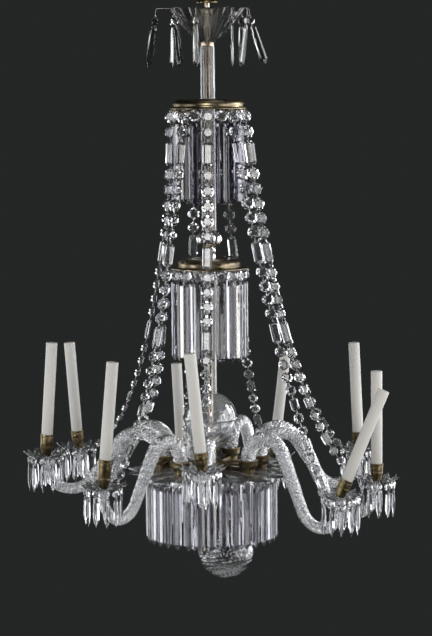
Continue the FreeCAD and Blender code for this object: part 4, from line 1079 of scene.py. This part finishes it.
HOOK_RADIUS = 0.0009
HOOK_EYE_REACH = 0.002
HOOK_EYE_RADIUS = 0.00135
HOOK_EYE_WIRE = 0.0006
HOOK_EYE_STEPS = 12
HOOK_NECK = 0.0015
HOOK_STRAIGHT_INSET = 0.0060
HOOK_BEND_INSET = 0.0045
HOOK_BEND_STEPS = 4

WELD_DISTANCE = 1e-5
EDGE_ANGLE = 40
EDGE_WIDTH = 0.0006


def build_band(name, radius, top):
    """A pressed pan with a rolled shoulder, a raised line and a flat rim for the drops."""
    profile = [
        (ROD_BORE, top), (0.018, top), (0.019, top - 0.0008), (0.030, top - 0.0010), (0.031, top - 0.0002),
        (radius - 0.016, top - 0.0004), (radius - 0.008, top - 0.0020), (radius - 0.003, top - 0.0050),
        (radius, top - 0.0095), (radius, top - 0.0125), (radius - 0.0008, top - 0.0130),
        (radius - 0.0008, top - 0.0142), (radius, top - 0.0148), (radius, top - 0.0165),
        (radius + 0.0015, top - 0.0188), (0.0835, top - 0.0195), (0.0848, top - 0.0203),
        (0.0848, top - 0.0213), (0.0838, top - 0.0220), (radius - 0.0025, top - 0.0220),
        (radius - 0.0025, top - 0.0100), (radius - 0.0052, top - 0.0064), (radius - 0.0095, top - 0.0034),
        (radius - 0.017, top - 0.0025), (ROD_BORE, top - 0.0025),
    ]
    band = Mesh()
    band.add(lathe(profile, BAND_SIDES, closed=True))
    made(name + "_pressed", band, GILT, "chandelier", [name], crease=40)


def build_collars():
    """The faceted silvered collar under the canopy, two turned brass ones and the nut under the dish."""
    collars = sorted(solids("stem_collars"), key=lambda solid: -solid.centre.z)
    groups = [("silvered_collar", collars[:1], ROD), ("cut_collars", collars[1:], GILT)]
    for name, group, material in groups:
        mesh = Mesh()
        for solid in group:
            radius = float(np.abs(solid.points[:, 0]).max())
            height = solid.top - solid.bottom
            profile = [(ROD_BORE, solid.bottom)]
            profile += [(radius * wide, solid.bottom + height * share) for wide, share in COLLAR_LEVELS]
            profile.append((ROD_BORE, solid.top))
            mesh.add(lathe(profile, COLLAR_SIDES, closed=True))
        made(name, mesh, material, "chandelier", ["stem_collars"])


def build_sockets():
    mesh = Mesh()
    for solid in solids("arm_sockets"):
        place = Matrix.Translation(Vector((solid.centre.x, solid.centre.y, solid.bottom)))
        mesh.add(lathe(SOCKET_PROFILE), place)
    made("brass_sockets", mesh, BRASS, "chandelier", ["arm_sockets"], crease=40)


def build_hooks():
    """A bent wire from the canopy's rim out and down to an eye over each canopy drop."""
    mesh = Mesh()
    for solid in solids("canopy_hooks"):
        away = outward(solid.centre)
        inner, outer = solid.reach(Vector((0, 0, 0)), away)
        height = UP * (solid.top - HOOK_RADIUS)
        hinge = away * (outer - HOOK_EYE_REACH) + UP * (solid.bottom + HOOK_EYE_REACH)
        corner = away * (outer - HOOK_EYE_REACH) + height
        start = away * (outer - HOOK_BEND_INSET) + height
        end = hinge + UP * HOOK_NECK
        path = [away * inner + height, away * (outer - HOOK_STRAIGHT_INSET) + height]
        for step in range(HOOK_BEND_STEPS + 1):
            share = step / HOOK_BEND_STEPS
            path.append(start.lerp(corner, share).lerp(corner.lerp(end, share), share))
        mesh.add(tube(path, HOOK_RADIUS))
        eye = []
        for turn in turns(HOOK_EYE_STEPS):
            sideways = away * (HOOK_EYE_RADIUS * math.cos(turn))
            eye.append(hinge + sideways + UP * (HOOK_EYE_RADIUS * math.sin(turn)))
        mesh.add(tube(eye, HOOK_EYE_WIRE, WIRE_SIDES, closed=True))
    made("bent_hooks", mesh, WIRE, "chandelier", ["canopy_hooks"], crease=50)


def finish_kept(name, material, bevel=EDGE_WIDTH):
    """Gives a construction node its material, and softens its edges."""
    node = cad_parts[name]
    if not node.material_slots:
        node.data.materials.append(material)
    for place in node.material_slots:
        place.material = material
    if bevel:
        weld = node.modifiers.new("weld", "WELD")
        weld.merge_threshold = WELD_DISTANCE
        soft = node.modifiers.new("soft_edges", "BEVEL")
        soft.width = bevel
        soft.segments = 2
        soft.limit_method = "ANGLE"
        soft.angle_limit = math.radians(EDGE_ANGLE)


def build_everything():
    hang_curtain("crown", CROWN_PLATE_PAINTED_SHADE)
    hang_curtain("middle", CRYSTAL_PLATE)
    hang_curtain("hub", HUB_PLATE)
    hang_curtain("finial", CRYSTAL_PLATE)
    hang_pan_drops()
    for number in range(1, CANOPY_DROP_COUNT + 1):
        hang_canopy_drop(number)
    for number in range(1, ARM_COUNT + 1):
        hang_chain(number)
    build_holders()
    build_canopy()
    build_star()
    build_globe_bowl()
    build_ball()
    build_knop()
    build_band("crown_band", radius=0.079, top=-0.264)
    build_band("middle_band", radius=0.068, top=-0.6115)
    build_collars()
    build_sockets()
    build_hooks()
    for name in ("hanging_loop", "hanging_pin", "top_cap", "receiver_hub", "finial_stem"):
        finish_kept(name, BRASS)
    finish_kept("central_rod", ROD, bevel=0)
    finish_kept("stem_sleeves", STEM_GLASS, bevel=0)
    finish_kept("globe_dome", GLOBE_GLASS, bevel=0)


# Studio: dark surround, pale floor, soft lights and the camera

FLOOR_LEVEL = -3.1
FLOOR_RADIUS = 1.4
FLOOR_SIDES = 128

LIGHT_AIM = (0, 0, -1.0)

# Name, place, width, height, power in watts and colour

LIGHTS = [
    ("window_right", (3.0, -0.3, -0.5), 2.4, 2.2, 34, (0.97, 0.98, 1.0)),
    ("back_right", (2.4, 1.5, -1.1), 1.5, 2.2, 30, (0.95, 0.97, 1.0)),
    ("back_left", (-2.5, 1.2, -1.1), 1.5, 2.2, 28, (0.96, 0.98, 1.0)),
    ("strip_right", (2.5, -1.7, -1.1), 1.3, 2.2, 27, (1.0, 0.99, 0.97)),
    ("strip_left", (-2.6, -1.5, -1.1), 1.3, 2.2, 34, (0.95, 0.97, 1.0)),
    ("panel_right", (2.0, -3.0, -1.6), 1.0, 1.0, 9, (0.97, 0.98, 1.0)),
    ("panel_left", (-2.2, -3.0, -1.6), 1.0, 1.0, 9, (0.97, 0.98, 1.0)),
    ("front", (-0.5, -4.3, 1.0), 1.8, 1.8, 68, (1.0, 0.985, 0.97)),
    ("window_high", (2.6, 0.7, 0.3), 0.8, 1.2, 20, (0.97, 0.98, 1.0)),
    ("sky", (0.2, -0.2, 2.2), 1.6, 1.6, 5, (0.96, 0.98, 1.0)),
]

ROOM_COLOUR = (0.0180, 0.0194, 0.0190, 1)

# The camera, as fitted to the photograph. The sensor's side lies along the frame's height.

CAMERA_PLACE = (0.0004, -4.706, -0.239)
CAMERA_PITCH = 6.115
CAMERA_YAW = -0.158
CAMERA_ROLL = -0.53
FOCAL_PIXELS = 2154.6
FRAME_HEIGHT = 636
SENSOR_SIDE = 36


def build_floor():
    data = bpy.data.meshes.new("floor")
    data.from_pydata(circle(FLOOR_RADIUS, FLOOR_LEVEL, FLOOR_SIDES), [], [list(range(FLOOR_SIDES))])
    floor = bpy.data.objects.new("floor", data)
    bpy.context.scene.collection.objects.link(floor)
    shader = Shader("pale_floor")
    tones = [(0.3, (0.62, 0.62, 0.61)), (0.7, (0.68, 0.68, 0.67))]
    shader.link(shader.ramp(shader.noise(3, 4), tones), "Base Color")
    shader.set(Roughness=0.7)
    data.materials.append(shader.material)


def build_lights():
    for name, place, width, height, power, colour in LIGHTS:
        data = bpy.data.lights.new(name, "AREA")
        data.shape = "RECTANGLE"
        data.size = width
        data.size_y = height
        data.energy = power
        data.color = colour
        light = bpy.data.objects.new(name, data)
        light.location = place
        light.rotation_euler = (Vector(LIGHT_AIM) - Vector(place)).to_track_quat("-Z", "Y").to_euler()
        light.visible_camera = False
        bpy.context.scene.collection.objects.link(light)
    world = bpy.data.worlds.new("dark_room")
    world.use_nodes = True
    world.node_tree.nodes["Background"].inputs["Color"].default_value = ROOM_COLOUR
    bpy.context.scene.world = world


def build_camera():
    data = bpy.data.cameras.new("camera")
    data.sensor_width = SENSOR_SIDE
    data.lens = SENSOR_SIDE * FOCAL_PIXELS / FRAME_HEIGHT
    camera = bpy.data.objects.new("camera", data)
    turn = (Matrix.Rotation(math.radians(CAMERA_YAW), 4, "Z")
            @ Matrix.Rotation(math.radians(90 - CAMERA_PITCH), 4, "X")
            @ Matrix.Rotation(math.radians(CAMERA_ROLL), 4, "Z"))
    camera.matrix_world = Matrix.Translation(Vector(CAMERA_PLACE)) @ turn
    bpy.context.scene.collection.objects.link(camera)
    bpy.context.scene.camera = camera


build_everything()
build_floor()
build_lights()
build_camera()
bpy.context.scene.view_settings.view_transform = "Standard"
